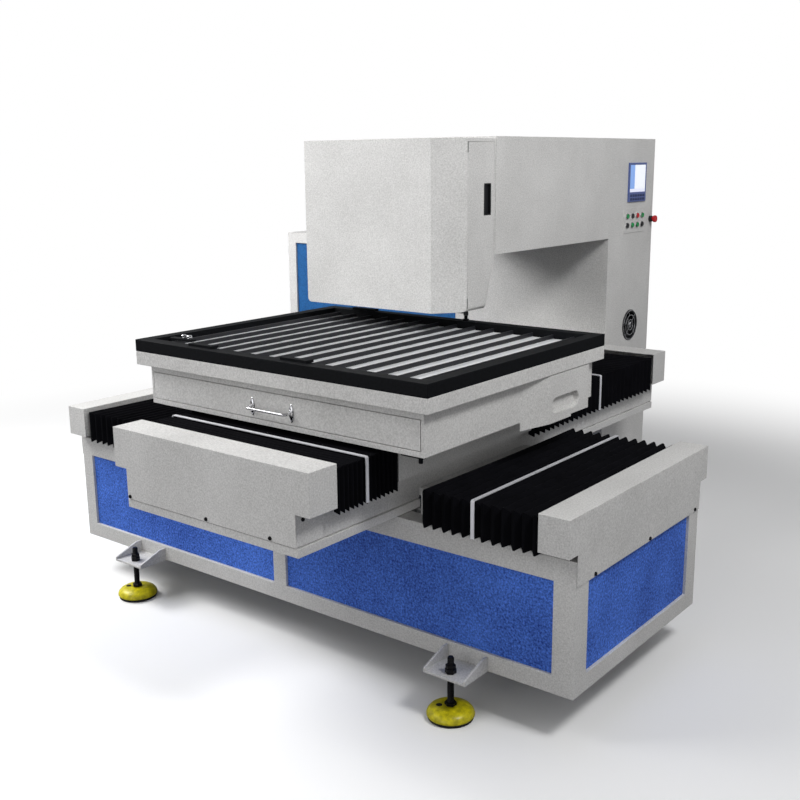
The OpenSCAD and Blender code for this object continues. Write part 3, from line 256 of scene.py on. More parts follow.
def burnt_slat(name, bright, burnt):
    """Steel that is bright and streaked at the foot, and dull and dark above it."""
    material, tree, place = start_material(name)
    axes = add(tree, "ShaderNodeSeparateXYZ", {"Vector": (place, "Object")})
    soot = add(tree, "ShaderNodeTexNoise", {"Vector": (place, "Object"), "Scale": per_mm(SOOT_MM),
        "Detail": 4.0})
    split = slat_low.z + SPLIT_MM * MM - SOOT_WAVE / 2
    edge = add(tree, "ShaderNodeMath", {0: (soot, "Fac"), 1: SOOT_WAVE, 2: split}, operation="MULTIPLY_ADD")
    blade = add(tree, "ShaderNodeMath", {0: (axes, "Z"), 1: (edge, "Value")}, operation="GREATER_THAN")
    drawn_out = add(tree, "ShaderNodeMapping", {"Vector": (place, "Object"), "Scale": STREAK_STRETCH})
    streak = add(tree, "ShaderNodeTexNoise", {"Vector": (drawn_out, "Vector"), "Scale": per_mm(STREAK_MM),
        "Detail": 4.0})
    worn = add(tree, "ShaderNodeMix", {"Factor": (streak, "Fac"), "A": srgb(bright), "B": srgb(WORN_STEEL)},
        data_type="RGBA")
    colour = add(tree, "ShaderNodeMix", {"Factor": (blade, "Value"), "A": (worn, "Result"), "B": srgb(burnt)},
        data_type="RGBA")
    metal = add(tree, "ShaderNodeMath", {0: FOOT_METAL, 1: (blade, "Value")}, operation="SUBTRACT",
        use_clamp=True)
    shader = add(tree, "ShaderNodeBsdfPrincipled", {"Base Color": (colour, "Result"),
        "Metallic": (metal, "Value"), "Roughness": 0.5})
    add(tree, "ShaderNodeOutputMaterial", {"Surface": (shader, "BSDF")})
    return material


slat_steel = burnt_slat("slat_steel_with_burnt_blade", "#FAFBFC", "#111218")

# %% [markdown]
# The bellows are a coated fabric: nearly black, without gloss, with a faint weave and some dust.
# Plastics are moulded, with a soft gloss and a fine grain. Weave and grain are drawn coarser than
# the real ones, which would be too fine to show here.

# %% Bellows cloth and plastics
WEAVE_MM = 4
WEAVE_DEEP = 0.8 * MM
DUST_MM = 70
GRAIN_MM = 3
GRAIN_DEEP = 0.4 * MM
PLASTIC_IOR = 1.46


def coated_cloth(name, light, dark):
    """Dull cloth between two tones, with a weave in its bump."""
    material, tree, place = start_material(name)
    weave = add(tree, "ShaderNodeTexNoise", {"Vector": (place, "Object"), "Scale": per_mm(WEAVE_MM),
        "Detail": 2.0})
    dust = add(tree, "ShaderNodeTexNoise", {"Vector": (place, "Object"), "Scale": per_mm(DUST_MM),
        "Detail": 4.0})
    colour = add(tree, "ShaderNodeMix", {"Factor": (dust, "Fac"), "A": srgb(dark), "B": srgb(light)},
        data_type="RGBA")
    relief = add(tree, "ShaderNodeBump", {"Height": (weave, "Fac"), "Strength": 0.4, "Distance": WEAVE_DEEP})
    shader = add(tree, "ShaderNodeBsdfPrincipled", {"Base Color": (colour, "Result"), "Roughness": 0.9,
        "Normal": (relief, "Normal"), "Specular IOR Level": 0.03})
    add(tree, "ShaderNodeOutputMaterial", {"Surface": (shader, "BSDF")})
    return material


def moulded(name, light, dark, roughness):
    """Plastic or rubber between two tones, with a fine grain."""
    material, tree, place = start_material(name)
    grain = add(tree, "ShaderNodeTexNoise", {"Vector": (place, "Object"), "Scale": per_mm(GRAIN_MM),
        "Detail": 2.0})
    colour = add(tree, "ShaderNodeMix", {"Factor": (grain, "Fac"), "A": srgb(dark), "B": srgb(light)},
        data_type="RGBA")
    relief = add(tree, "ShaderNodeBump", {"Height": (grain, "Fac"), "Strength": 0.12, "Distance": GRAIN_DEEP})
    shader = add(tree, "ShaderNodeBsdfPrincipled", {"Base Color": (colour, "Result"), "Roughness": roughness,
        "Normal": (relief, "Normal"), "IOR": PLASTIC_IOR})
    add(tree, "ShaderNodeOutputMaterial", {"Surface": (shader, "BSDF")})
    return material


bellows_cloth = coated_cloth("coated_bellows_cloth", "#121216", "#070709")
# Grip, ventilator and dark buttons: a satin black
black_plastic = moulded("black_abs", "#1C1D20", "#101113", 0.42)
# Buttons: clear and glossy
green_plastic = moulded("green_acrylic", "#1FA055", "#157A40", 0.22)
# Stop button and red button: glossy
red_plastic = moulded("red_abs", "#D8242C", "#B3161E", 0.25)
# Touch panel and its keys: a satin blue, and a darker one
panel_plastic = moulded("slate_blue_abs", "#5F6FA8", "#4A5A90", 0.4)
key_plastic = moulded("navy_abs", "#2C3A66", "#1E2A4E", 0.45)
# Under the pads: dull black; the same black is also the painted shade in the pads' fixing holes
rubber = moulded("black_rubber_and_hole_shade", "#1E1E1E", "#121212", 0.8)
print("metals, cloth and plastics ready")

# %% [markdown]
# ## Screen
# The touch panel shows a bright page: a pale field, a blue column at its left and a pale strip
# along the bottom. The page glows a little of itself, so part of its colour is emission. The areas
# are cut from the screen's own Y and Z coordinates with plain comparisons.

# %% Screen material
screen_low, screen_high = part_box("hmi_screen")
COLUMN_SHARE = 0.3
STRIP_SHARE = 0.12
PAGE, PAGE_COLUMN, PAGE_STRIP = "#F4F8FE", "#7FA6E6", "#E6E9FA"


def lit_screen():
    """A glossy page of three flat colours that gives off some light."""
    material, tree, place = start_material("lit_screen")
    axes = add(tree, "ShaderNodeSeparateXYZ", {"Vector": (place, "Object")})
    side = add(tree, "ShaderNodeMapRange", {"Value": (axes, "Y"), "From Min": screen_low.y,
        "From Max": screen_high.y})
    height = add(tree, "ShaderNodeMapRange", {"Value": (axes, "Z"), "From Min": screen_low.z,
        "From Max": screen_high.z})
    column = add(tree, "ShaderNodeMath", {0: (side, "Result"), 1: COLUMN_SHARE}, operation="LESS_THAN")
    strip = add(tree, "ShaderNodeMath", {0: (height, "Result"), 1: STRIP_SHARE}, operation="LESS_THAN")
    page = add(tree, "ShaderNodeMix", {"Factor": (column, "Value"), "A": srgb(PAGE), "B": srgb(PAGE_COLUMN)},
        data_type="RGBA")
    shown = add(tree, "ShaderNodeMix", {"Factor": (strip, "Value"), "A": (page, "Result"),
        "B": srgb(PAGE_STRIP)}, data_type="RGBA")
    shader = add(tree, "ShaderNodeBsdfPrincipled", {"Base Color": (shown, "Result"), "Roughness": 0.15,
        "Emission Color": (shown, "Result"), "Emission Strength": 0.35})
    add(tree, "ShaderNodeOutputMaterial", {"Surface": (shader, "BSDF")})
    return material


screen_glow = lit_screen()

# %% [markdown]
# ## Painting the solids
# The solids keep their shapes. Folded sheet and welded tube have no knife edges, though, and a
# rounded edge is what catches the light. A Weld modifier first joins the loose triangles, and a
# Bevel on sharp angles then gives each edge its small radius.

# %% Paint and soften the solids
PAINT = {
    grey_coat: ["base_frame", "foot_brackets", "x_end_covers", "column_shell", "cabinet_shell", "arm_shell",
        "hood_shell", "hood_door", "column_door", "cabinet_door", "saddle", "saddle_covers", "table_carriage",
        "table_body", "table_rim", "duct_box", "slag_drawer", "button_plate"],
    blue_coat: ["base_panels"],
    cabinet_blue_coat: ["cabinet_panel"],
    black_coat: ["slat_frame", "frame_clamps", "switch_bar"],
    charcoal_coat: ["rear_plinth", "c_frame", "laser_source"],
    ground_steel: ["x_guides", "y_guides", "x_runners", "y_runners"],
    zinc: ["control_plate", "door_hinges"],
    slat_steel: ["slats"],
    black_plastic: ["hood_door_handle", "fan_frame", "fan_rotor", "estop_base", "button_2", "button_5",
        "button_8"],
    green_plastic: ["button_1", "button_4", "button_6", "button_7"],
    red_plastic: ["button_3", "estop_button"],
    panel_plastic: ["hmi_bezel"],
    screen_glow: ["hmi_screen"],
    anodised: ["laser_head"],
    turned_brass: ["head_nozzle"],
}
EDGE_MM = {"base_frame": 3, "x_end_covers": 1.4, "saddle_covers": 1.4, "saddle": 2, "table_body": 1.5,
    "table_rim": 2.5, "slat_frame": 2, "slag_drawer": 1.4, "hood_shell": 1.4, "hood_door": 0.6,
    "arm_shell": 1, "column_shell": 1, "cabinet_shell": 1.2, "duct_box": 1.5, "foot_brackets": 1,
    "table_carriage": 1.5, "switch_bar": 1, "frame_clamps": 1, "hmi_bezel": 1.5, "button_plate": 0.6,
    "base_panels": 0.6, "cabinet_panel": 0.6, "column_door": 0.8, "cabinet_door": 0.8, "laser_source": 2,
    "rear_plinth": 2}
SHARP_DEGREES = 40
SAME_PLACE = 1e-5

for material, names in PAINT.items():
    for name in names:
        nodes[name].data.materials.clear()
        nodes[name].data.materials.append(material)
for name, size in EDGE_MM.items():
    weld = nodes[name].modifiers.new("Joined triangles", "WELD")
    weld.merge_threshold = SAME_PLACE
    bevel = nodes[name].modifiers.new("Rounded edges", "BEVEL")
    bevel.width = size * MM
    bevel.segments = 2
    bevel.limit_method = "ANGLE"
    bevel.angle_limit = math.radians(SHARP_DEGREES)
    bevel.harden_normals = True
print("painted:", sum(len(v) for v in PAINT.values()), "softened:", len(EDGE_MM))

# %% [markdown]
# ## Helpers for modelling
# Each piece is modelled as by hand: add a primitive, choose faces or edges by where they are,
# extrude, scale and bevel. These helpers do the repeated steps: starting with nothing selected,
# choosing by place, turning a piece on a lathe by extruding a circle, and finishing it.

# %% Selecting and finishing
def clear():
    """Object mode with nothing selected."""
    if bpy.context.object and bpy.context.object.mode != "OBJECT":
        bpy.ops.object.mode_set(mode="OBJECT")
    bpy.ops.object.select_all(action="DESELECT")


def only(obj):
    """One piece selected and active."""
    clear()
    obj.select_set(True)
    bpy.context.view_layer.objects.active = obj


def choose(obj, kind, test):
    """Edit mode with only the faces or edges chosen whose middle passes the test."""
    only(obj)
    bpy.ops.object.mode_set(mode="EDIT")
    bpy.ops.mesh.select_mode(type=kind)
    bpy.ops.mesh.select_all(action="DESELECT")
    bpy.ops.object.mode_set(mode="OBJECT")
    mesh = obj.data
    if kind == "FACE":
        for face in mesh.polygons:
            face.select = test(face.center)
    else:
        for edge in mesh.edges:
            first, second = [mesh.vertices[i].co for i in edge.vertices]
            edge.select = test((first + second) / 2)
    bpy.ops.object.mode_set(mode="EDIT")


def settle(obj):
    """Places the piece's transform in its mesh."""
    only(obj)
    bpy.ops.object.transform_apply(location=True, rotation=True, scale=True)
    return obj


def use_modifier(obj, kind, **settings):
    """Adds a modifier with its settings and applies it."""
    only(obj)
    modifier = obj.modifiers.new(kind.title(), kind)
    for key, value in settings.items():
        setattr(modifier, key, value)
    bpy.ops.object.modifier_apply(modifier=modifier.name)


def face_outwards(obj):
    """Turns every face of the piece outwards."""
    only(obj)
    bpy.ops.object.mode_set(mode="EDIT")
    bpy.ops.mesh.select_all(action="SELECT")
    bpy.ops.mesh.normals_make_consistent(inside=False)
    bpy.ops.object.mode_set(mode="OBJECT")


def finish(obj, name, material, body=None, angle=35):
    """Names and paints a piece, smooths it by angle and lets it ride on its body."""
    only(obj)
    bpy.ops.object.shade_smooth_by_angle(angle=math.radians(angle))
    obj.name = name
    obj.data.name = name
    obj.data.materials.clear()
    obj.data.materials.append(material)
    if body:
        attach(obj, body)
    return obj


def join(objs):
    """All the given pieces as one."""
    clear()
    for obj in objs:
        obj.select_set(True)
    bpy.context.view_layer.objects.active = objs[0]
    if len(objs) > 1:
        bpy.ops.object.join()
    return bpy.context.object


def copies(obj, places):
    """Copies of the piece, moved by the given steps and joined; the first piece is removed."""
    made = []
    for step in places:
        twin = obj.copy()
        twin.data = obj.data.copy()
        bpy.context.collection.objects.link(twin)
        twin.location = Vector(obj.location) + Vector(step)
        made.append(settle(twin))
    bpy.data.objects.remove(obj)
    return join(made)

# %% Turning on a lathe
QUARTER = math.pi / 2
FACING = {"Z": (0, 0, 0), "X": (0, QUARTER, 0), "-X": (0, -QUARTER, 0), "Y": (-QUARTER, 0, 0),
    "-Y": (QUARTER, 0, 0)}


def turned(rings, at=(0, 0, 0), facing="Z", sides=40):
    """A turned piece: a disc extruded and scaled through rings of (radius, height) in millimetres."""
    clear()
    radius, height = rings[0]
    bpy.ops.mesh.primitive_circle_add(vertices=sides, radius=radius * MM, fill_type="NGON",
        location=(0, 0, height * MM))
    obj = bpy.context.object
    settle(obj)
    bpy.ops.object.mode_set(mode="EDIT")
    bpy.ops.mesh.select_all(action="SELECT")
    for new_radius, new_height in rings[1:]:
        rise = (0, 0, (new_height - height) * MM)
        bpy.ops.mesh.extrude_region_move(TRANSFORM_OT_translate={"value": rise})
        factor = new_radius / radius
        bpy.ops.transform.resize(value=(factor, factor, 1), center_override=(0, 0, new_height * MM))
        radius, height = new_radius, new_height
    face_outwards(obj)
    obj.rotation_euler = FACING[facing]
    obj.location = at
    return settle(obj)

# %% [markdown]
# ## Bellows
# The bellows keep dust off the guides. Each is a sheet of coated cloth, pleated like an accordion
# and bent over an upturned U, so its lower edges end in a row of points. A grid has the right
# topology: one direction runs round the U and the other along the pleats, and its vertices are
# then moved to crests and valleys. A little unevenness in the pitch and a slight sag keep it from
# looking machined.

# %% Pleated cloth
STAY_MM = 3
CLOTH_MM = 1.6
SAG_MM = 4
SIDE_STEPS, TOP_STEPS = 4, 12
# Each fold has three rings: the valley and the two edges of its narrow crest
FOLD_RINGS = (0.0, 0.43, 0.57)
UNEVEN_SHARE = 0.07
UNEVEN_FOOT_MM = 2.5
VALLEY_LIFT = 0.75
dice = random.Random(7)


def along(axis, run, across, height):
    """A place given along and across the slide's axis."""
    return (run, across, height) if axis == "X" else (across, run, height)


def pleated_cloth(node, axis, pitch_mm, depth_mm):
    """The bellows' cloth in the space of its solid: its pleats run along the given axis."""
    low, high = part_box(node)
    run = (low.x, high.x) if axis == "X" else (low.y, high.y)
    side = (low.y, high.y) if axis == "X" else (low.x, high.x)
    middle = (side[0] + side[1]) / 2
    half = (side[1] - side[0]) / 2 - STAY_MM * MM
    top = high.z - STAY_MM * MM
    folds = max(2, round((run[1] - run[0]) / (pitch_mm * MM)))
    rings = len(FOLD_RINGS) * folds
    steps = 2 * SIDE_STEPS + TOP_STEPS
    shake = [dice.uniform(-UNEVEN_SHARE, UNEVEN_SHARE) for i in range(folds)]
    drop = [dice.uniform(-UNEVEN_FOOT_MM, UNEVEN_FOOT_MM) for i in range(folds + 1)]

    clear()
    bpy.ops.mesh.primitive_grid_add(x_subdivisions=rings, y_subdivisions=steps, size=1)
    obj = bpy.context.object
    for vertex in obj.data.vertices:
        ring = round((vertex.co.x + 0.5) * rings)
        step = round((vertex.co.y + 0.5) * steps)
        fold, part = divmod(ring, len(FOLD_RINGS))
        share = FOLD_RINGS[part] + (shake[fold] if part and fold < folds else 0)
        inset = (0 if part else depth_mm) * MM
        reach = half - inset
        crown = top - inset
        foot = low.z + inset * VALLEY_LIFT + (drop[fold] * MM if part else 0)
        foot = max(foot, low.z)
        if step <= SIDE_STEPS:
            rise = step / SIDE_STEPS
            across, height = -reach, foot + (crown - foot) * rise
        elif step >= SIDE_STEPS + TOP_STEPS:
            rise = (steps - step) / SIDE_STEPS
            across, height = reach, foot + (crown - foot) * rise
        else:
            span = 2 * (step - SIDE_STEPS) / TOP_STEPS - 1
            across, height = reach * span, crown - SAG_MM * MM * (1 - span * span)
        place = run[0] + (run[1] - run[0]) * (fold + share) / folds
        vertex.co = along(axis, place, middle + across, height)
    around = 2 * (top - low.z + half - depth_mm * MM)
    cut = (around, sum(face.area for face in obj.data.polygons) / around)
    use_modifier(obj, "SOLIDIFY", thickness=CLOTH_MM * MM, offset=0)
    face_outwards(obj)
    print(node, "folds", folds, "flat size", [round(v, 3) for v in cut])
    return obj, run, folds, cut

# %% [markdown]
# An aluminium stay sits on a crest near the middle of each bellows and keeps it from sagging. It is
# a flat strip bent twice: a plane for the top, its two end edges drawn down, a bevel for the bends
# and Solidify for the thickness.

# %% Stays
STAY_WIDE_MM = 13
STAY_CLEAR_MM = 4
BEND_MM = 7
BEND_DEGREES = 60
NEAR = 1e-4


def bent_stay(node, axis, place):
    """A flat strip over the top and down both sides of a bellows."""
    low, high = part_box(node)
    side = (low.y, high.y) if axis == "X" else (low.x, high.x)
    middle, wide = (side[0] + side[1]) / 2, side[1] - side[0]
    leg = high.z - low.z - STAY_CLEAR_MM * MM
    clear()
    bpy.ops.mesh.primitive_plane_add(size=1, location=along(axis, place, middle, high.z))
    obj = bpy.context.object
    obj.scale = along(axis, STAY_WIDE_MM * MM, wide, 1)
    settle(obj)
    across = 1 if axis == "X" else 0
    choose(obj, "EDGE", lambda mid: abs(abs(mid[across] - middle) - wide / 2) < NEAR)
    bpy.ops.mesh.extrude_region_move(TRANSFORM_OT_translate={"value": (0, 0, -leg)})
    bpy.ops.object.mode_set(mode="OBJECT")
    use_modifier(obj, "BEVEL", width=BEND_MM * MM, segments=4, limit_method="ANGLE",
        angle_limit=math.radians(BEND_DEGREES))
    use_modifier(obj, "SOLIDIFY", thickness=STAY_MM * MM, offset=-1)
    return obj, middle, high.z


def bellows(node, axis, pitch_mm, depth_mm, stay_share):
    """One bellows and its stay."""
    cloth, run, folds, cut = pleated_cloth(node, axis, pitch_mm, depth_mm)
    finish(cloth, node + "_cloth", bellows_cloth, angle=20)
    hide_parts(node)
    place = run[0] + (run[1] - run[0]) * (int(stay_share * folds) + 0.5) / folds
    stay, middle, height = bent_stay(node, axis, place)
    finish(stay, node + "_stay", anodised)
    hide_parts(node)
    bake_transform(cloth)
    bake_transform(stay)


bellows("x_bellows_right", "X", 38, 15, 0.45)
bellows("x_bellows_left", "X", 38, 15, 0.5)
bellows("y_bellows_front", "Y", 22, 13, 0.45)
bellows("y_bellows_rear", "Y", 38, 15, 0.5)

# %% [markdown]
# ## Levelling feet
# Each foot is a threaded rod through the bracket, locked by nuts, standing in a domed pad that is
# painted yellow and rests on a rubber ring. A dark disc near the top of each dome is painted shade,
# standing for the shade inside its fixing hole. All are turned shapes, so the lathe helper makes
# them. The thread is a stack of ridges: at this distance nobody can see whether it winds.

# %% Pads and rubber rings
pad_low, pad_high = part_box("foot_pads")
PAD_R = 79
HOLE_AT = (-29 * MM, -23 * MM, 0)
pad_x = (pad_low.x + PAD_R * MM, pad_high.x - PAD_R * MM)
pad_y = (pad_low.y + PAD_R * MM, pad_high.y - PAD_R * MM)
feet = [(x, y, 0) for x in pad_x for y in pad_y]
dome = turned([(70, 10), (77, 11), (PAD_R, 14), (PAD_R, 18), (76, 26), (69, 34), (58, 40), (46, 43.4),
    (34, 44), (30, 43), (22, 43), (20, 41), (12, 41)], sides=64)
finish(copies(dome, feet), "foot_pad_domes", yellow_coat, "machine")
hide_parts("foot_pads")
ring = turned([(68, 0), (73, 0), (75, 2), (75.5, 8), (74, 11), (66, 11)], sides=64)
finish(copies(ring, feet), "foot_pad_rubbers", rubber, "machine")
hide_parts("foot_pads")
# Painted shade: a thin dark disc on each dome stands for the shade inside the pad's fixing hole
hole_shade = turned([(9, 42.6), (10, 43.2), (10, 44.2), (8, 44.4)], at=HOLE_AT, sides=28)
finish(copies(hole_shade, feet), "foot_pad_hole_shades", rubber, "machine")
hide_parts("foot_pads")

# %% Threaded rods and nuts
THREAD_R, ROOT_R, PITCH_MM = 11, 9.6, 4
RIDGE_FROM, RIDGE_TO = 0.35, 0.55
ROD_FOOT, THREAD_FOOT = 30, 46
BRACKET_MM = 8
LOW_NUT_MM = 14
rod_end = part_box("foot_bolts")[1].z / MM
profile = [(THREAD_R - 2, ROD_FOOT), (ROOT_R, THREAD_FOOT)]
height = THREAD_FOOT
while height + PITCH_MM < rod_end - 2:
    profile += [(THREAD_R, height + PITCH_MM * RIDGE_FROM), (THREAD_R, height + PITCH_MM * RIDGE_TO),
        (ROOT_R, height + PITCH_MM)]
    height += PITCH_MM
profile += [(ROOT_R - 1.5, rod_end)]
rod = turned(profile, sides=24)
finish(copies(rod, feet), "foot_rods", black_steel, "machine")
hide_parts("foot_bolts")


def nut(low_mm, tall_mm, across_mm):
    """A hexagon nut with chamfered corners."""
    chamfer, narrow = 1.5, 0.44
    return turned([(across_mm * narrow, low_mm), (across_mm / 2, low_mm + chamfer),
        (across_mm / 2, low_mm + tall_mm - chamfer), (across_mm * narrow, low_mm + tall_mm)], sides=6)


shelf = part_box("foot_brackets")[0].z / MM + BRACKET_MM
# Height of the underside, height of the nut and its width: on the pad, over and under the bracket
NUTS = [(44, 12, 40), (shelf, 17, 38), (shelf + 17.5, 13, 34),
    (shelf - BRACKET_MM - LOW_NUT_MM, LOW_NUT_MM, 36)]
nuts = [copies(nut(low, tall, wide), feet) for low, tall, wide in NUTS]
finish(join(nuts), "foot_nuts", black_steel, "machine", angle=25)
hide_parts("foot_bolts")
print("feet at", [tuple(round(v, 3) for v in f) for f in feet])

# %% [markdown]
# ## Screws
# Black cap screws hold the sheet covers: along the lower edges of the end covers and the saddle's
# covers, and on the right flank of the saddle's covers. One is turned with a rounded head, its
# socket is an inset face pushed inwards, and the rest are copies.

# %% Cap screws
SCREW_R = 6.5
HEAD_MM = 5
SOCKET_MM = 2.5
SCREW_UP = 9 * MM
END_SCREWS_MM = (-339, 41, 409)
LAP_SCREWS_MM = (-385, 0, 289)
FLANK_OUT = 398 * MM
FLANK_IN = 31 * MM
FLANK_UP = 84 * MM


def cap_screw(facing):
    """One screw head with its socket, facing along an axis."""
    head = turned([(SCREW_R * 0.9, -1), (SCREW_R, 0), (SCREW_R, 3), (SCREW_R * 0.82, 4.6),
        (SCREW_R * 0.5, HEAD_MM)], sides=24)
    choose(head, "FACE", lambda mid: mid.z > (HEAD_MM - 0.1) * MM)
    bpy.ops.mesh.inset(thickness=SCREW_R * 0.08 * MM)
    bpy.ops.mesh.extrude_region_move(TRANSFORM_OT_translate={"value": (0, 0, -SOCKET_MM * MM)})
    bpy.ops.object.mode_set(mode="OBJECT")
    head.rotation_euler = FACING[facing]
    return settle(head)


end_low, end_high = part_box("x_end_covers")
middle_y = (end_low.y + end_high.y) / 2
end_y = [middle_y + y * MM for y in END_SCREWS_MM]
end_z = end_low.z + SCREW_UP
right_screws = copies(cap_screw("X"), [(end_high.x, y, end_z) for y in end_y])
left_screws = copies(cap_screw("-X"), [(end_low.x, y, end_z) for y in end_y])
finish(join([right_screws, left_screws]), "end_cover_screws", black_steel, "machine")

cover_low, cover_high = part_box("saddle_covers")
middle_x = (cover_low.x + cover_high.x) / 2
lap_x = [middle_x + x * MM for x in LAP_SCREWS_MM]
lap_z = cover_low.z + SCREW_UP
front_screws = copies(cap_screw("-Y"), [(x, cover_low.y, lap_z) for x in lap_x])
rear_screws = copies(cap_screw("Y"), [(x, cover_high.y, lap_z) for x in lap_x])
flank_y = (cover_low.y + FLANK_IN, cover_high.y - FLANK_IN)
flank_screws = copies(cap_screw("X"), [(middle_x + FLANK_OUT, y, cover_low.z + FLANK_UP) for y in flank_y])
finish(join([front_screws, rear_screws, flank_screws]), "saddle_cover_screws", black_steel,
    "saddle_body")
print("screws:", len(end_y) * 2 + len(lap_x) * 2 + len(flank_y))

# %% [markdown]
# ## Bow handle
# The drawer opens by a chromed bow. A curve with a round section gives its even tube and smooth
# bends. Once it is a mesh, two end plates close it against the drawer's front: each is turned and
# then stretched to an upright oval.

# %% Bow handle
bow_low, bow_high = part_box("drawer_handle")
BOW_R = 5 * MM
BEND = 16 * MM
BEND_PULL = 0.55
PLATE_TALL = 3.2
bow_z = (bow_low.z + bow_high.z) / 2
bow_y = bow_low.y + BOW_R
front_y = bow_high.y
bow_x = (bow_low.x + BOW_R, bow_high.x - BOW_R)
path = [(bow_x[0], front_y), (bow_x[0], bow_y + BEND), (bow_x[0] + BEND, bow_y), (bow_x[1] - BEND, bow_y),
    (bow_x[1], bow_y + BEND), (bow_x[1], front_y)]
clear()
bpy.ops.curve.primitive_bezier_curve_add()
bow = bpy.context.object
spline = bow.data.splines[0]
spline.bezier_points.add(len(path) - 2)
for point, (x, y) in zip(spline.bezier_points, path):
    point.co = (x, y, bow_z)
    point.handle_left_type = point.handle_right_type = "VECTOR"
for index, corner in ((1, bow_x[0]), (2, bow_x[0]), (3, bow_x[1]), (4, bow_x[1])):
    point = spline.bezier_points[index]
    point.handle_left_type = point.handle_right_type = "FREE"
    near = Vector((corner, bow_y, bow_z))
    inner = Vector(point.co).lerp(near, BEND_PULL)
    outer = Vector(point.co) - (inner - Vector(point.co))
    point.handle_left, point.handle_right = (outer, inner) if index in (1, 3) else (inner, outer)
bow.data.bevel_depth = BOW_R
bow.data.bevel_resolution = 6
bow.data.resolution_u = 10
only(bow)
bpy.ops.object.convert(target="MESH")
bow = settle(bpy.context.object)
plate = turned([(9, 0), (10, 0.5), (9, 3), (7, 5), (4, 6)], facing="-Y", sides=28)
plate.scale = (1, 1, PLATE_TALL)
settle(plate)
plates = copies(plate, [(x, front_y, bow_z) for x in bow_x])
finish(join([bow, plates]), "drawer_bow", chrome, "drawer")
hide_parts("drawer_handle")
print("bow between", [round(x, 3) for x in bow_x])

# %% [markdown]
# ## Ventilator guard
# The guard is welded wire: rings of round section on four spokes, with a small boss in the
# middle. The torus primitive gives a ring, and thin turned rods are the spokes.

# %% Wire guard
guard_low, guard_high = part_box("fan_guard")
WIRE_MM = 1.4
WIRE_R = WIRE_MM * MM
GUARD_RINGS = (0.36, 0.68, 1.0)
SPOKES = 4
guard_y = (guard_low.y + guard_high.y) / 2
guard_z = (guard_low.z + guard_high.z) / 2
guard_r = (guard_high.y - guard_low.y) / 2 - 2 * MM
wires = []
for share in GUARD_RINGS:
    clear()
    bpy.ops.mesh.primitive_torus_add(major_radius=guard_r * share, minor_radius=WIRE_R, major_segments=56,
        minor_segments=8, rotation=(0, QUARTER, 0), location=(guard_high.x - WIRE_R, guard_y, guard_z))
    wires.append(settle(bpy.context.object))
for turn in range(SPOKES):
    spoke = turned([(WIRE_MM, 6), (WIRE_MM, guard_r / MM)], sides=10)
    spoke.rotation_euler = (QUARTER * turn + QUARTER / 2, 0, 0)
    spoke.location = (guard_low.x + WIRE_R, guard_y, guard_z)
    wires.append(settle(spoke))
boss = turned([(14, 0), (14, 1.5), (11, 3), (6, 3.4)], at=(guard_low.x, guard_y, guard_z), facing="X",
    sides=32)
finish(join(wires + [boss]), "fan_wire_guard", chrome, "machine")
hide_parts("fan_guard")

# %% [markdown]
# ## Control panel
# The push buttons sit in bright bezel rings, and under the touch panel's screen there are two rows
# of soft keys. Both are small, so one torus and one bevelled cube are copied along their rows.

# %% Button rings and keys
BUTTONS = 8
RING_R = 13 * MM
RING_WIRE = 1.7 * MM
KEY_SIZE = (3 * MM, 20 * MM, 12 * MM)
KEY_ROWS, KEY_COLUMNS = 2, 6
FIRST_KEY_Y, KEY_STEP_Y = 26, 26.4
FIRST_KEY_Z, KEY_STEP_Z = 13, 17
plate_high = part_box("button_plate")[1]
ring_places = []
for number in range(1, BUTTONS + 1):
    low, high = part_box("button_%d" % number)
    ring_places.append((plate_high.x, (low.y + high.y) / 2, (low.z + high.z) / 2))
clear()
bpy.ops.mesh.primitive_torus_add(major_radius=RING_R, minor_radius=RING_WIRE, major_segments=40,
    minor_segments=8, rotation=(0, QUARTER, 0))
finish(copies(settle(bpy.context.object), ring_places), "button_rings", chrome, "machine")

bezel_low, bezel_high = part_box("hmi_bezel")
clear()
bpy.ops.mesh.primitive_cube_add(size=1)
key = bpy.context.object
key.scale = KEY_SIZE
settle(key)
use_modifier(key, "BEVEL", width=1.2 * MM, segments=2)
key_places = []
for row in range(KEY_ROWS):
    for column in range(KEY_COLUMNS):
        key_y = bezel_low.y + (FIRST_KEY_Y + KEY_STEP_Y * column) * MM
        key_z = bezel_low.z + (FIRST_KEY_Z + KEY_STEP_Z * row) * MM
        key_places.append((bezel_high.x, key_y, key_z))
finish(copies(key, key_places), "panel_keys", key_plastic, "machine")
print("button rings and keys:", len(ring_places), len(key_places))

# %% [markdown]
# ## Lever clamp
# A small lever at the table's rear edge tightens a clamp. Its hub is turned, and the handle is a
# slim rod that swells into a grip at its end.

# %% Lever
lever_low, lever_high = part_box("clamp_lever")
HUB_R = 10
GRIP_UP = 10 * MM
hub_x = lever_high.x - HUB_R * MM
hub_y = (lever_low.y + lever_high.y) / 2
tall = (lever_high.z - lever_low.z) / MM
hub = turned([(8, 0), (HUB_R, 1), (HUB_R, tall - 4), (8, tall - 1), (5, tall)],
    at=(hub_x, hub_y, lever_low.z), sides=32)
reach = (hub_x - lever_low.x) / MM
grip = turned([(3.6, 6), (3.6, reach * 0.55), (5, reach * 0.62), (5.4, reach * 0.8), (4.6, reach - 3),
    (2.5, reach)], at=(hub_x, hub_y, lever_low.z + GRIP_UP), facing="-X", sides=24)
finish(join([hub, grip]), "lever_grip", black_plastic, "lever")
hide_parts("clamp_lever")

# %% [markdown]
# ## Sheet stop
# In the left front corner of the slat frame sits a small stop for the sheet: a flat finger held by
# two bright thumb screws. The finger is a bevelled cube and the screws are one turned knob, copied.

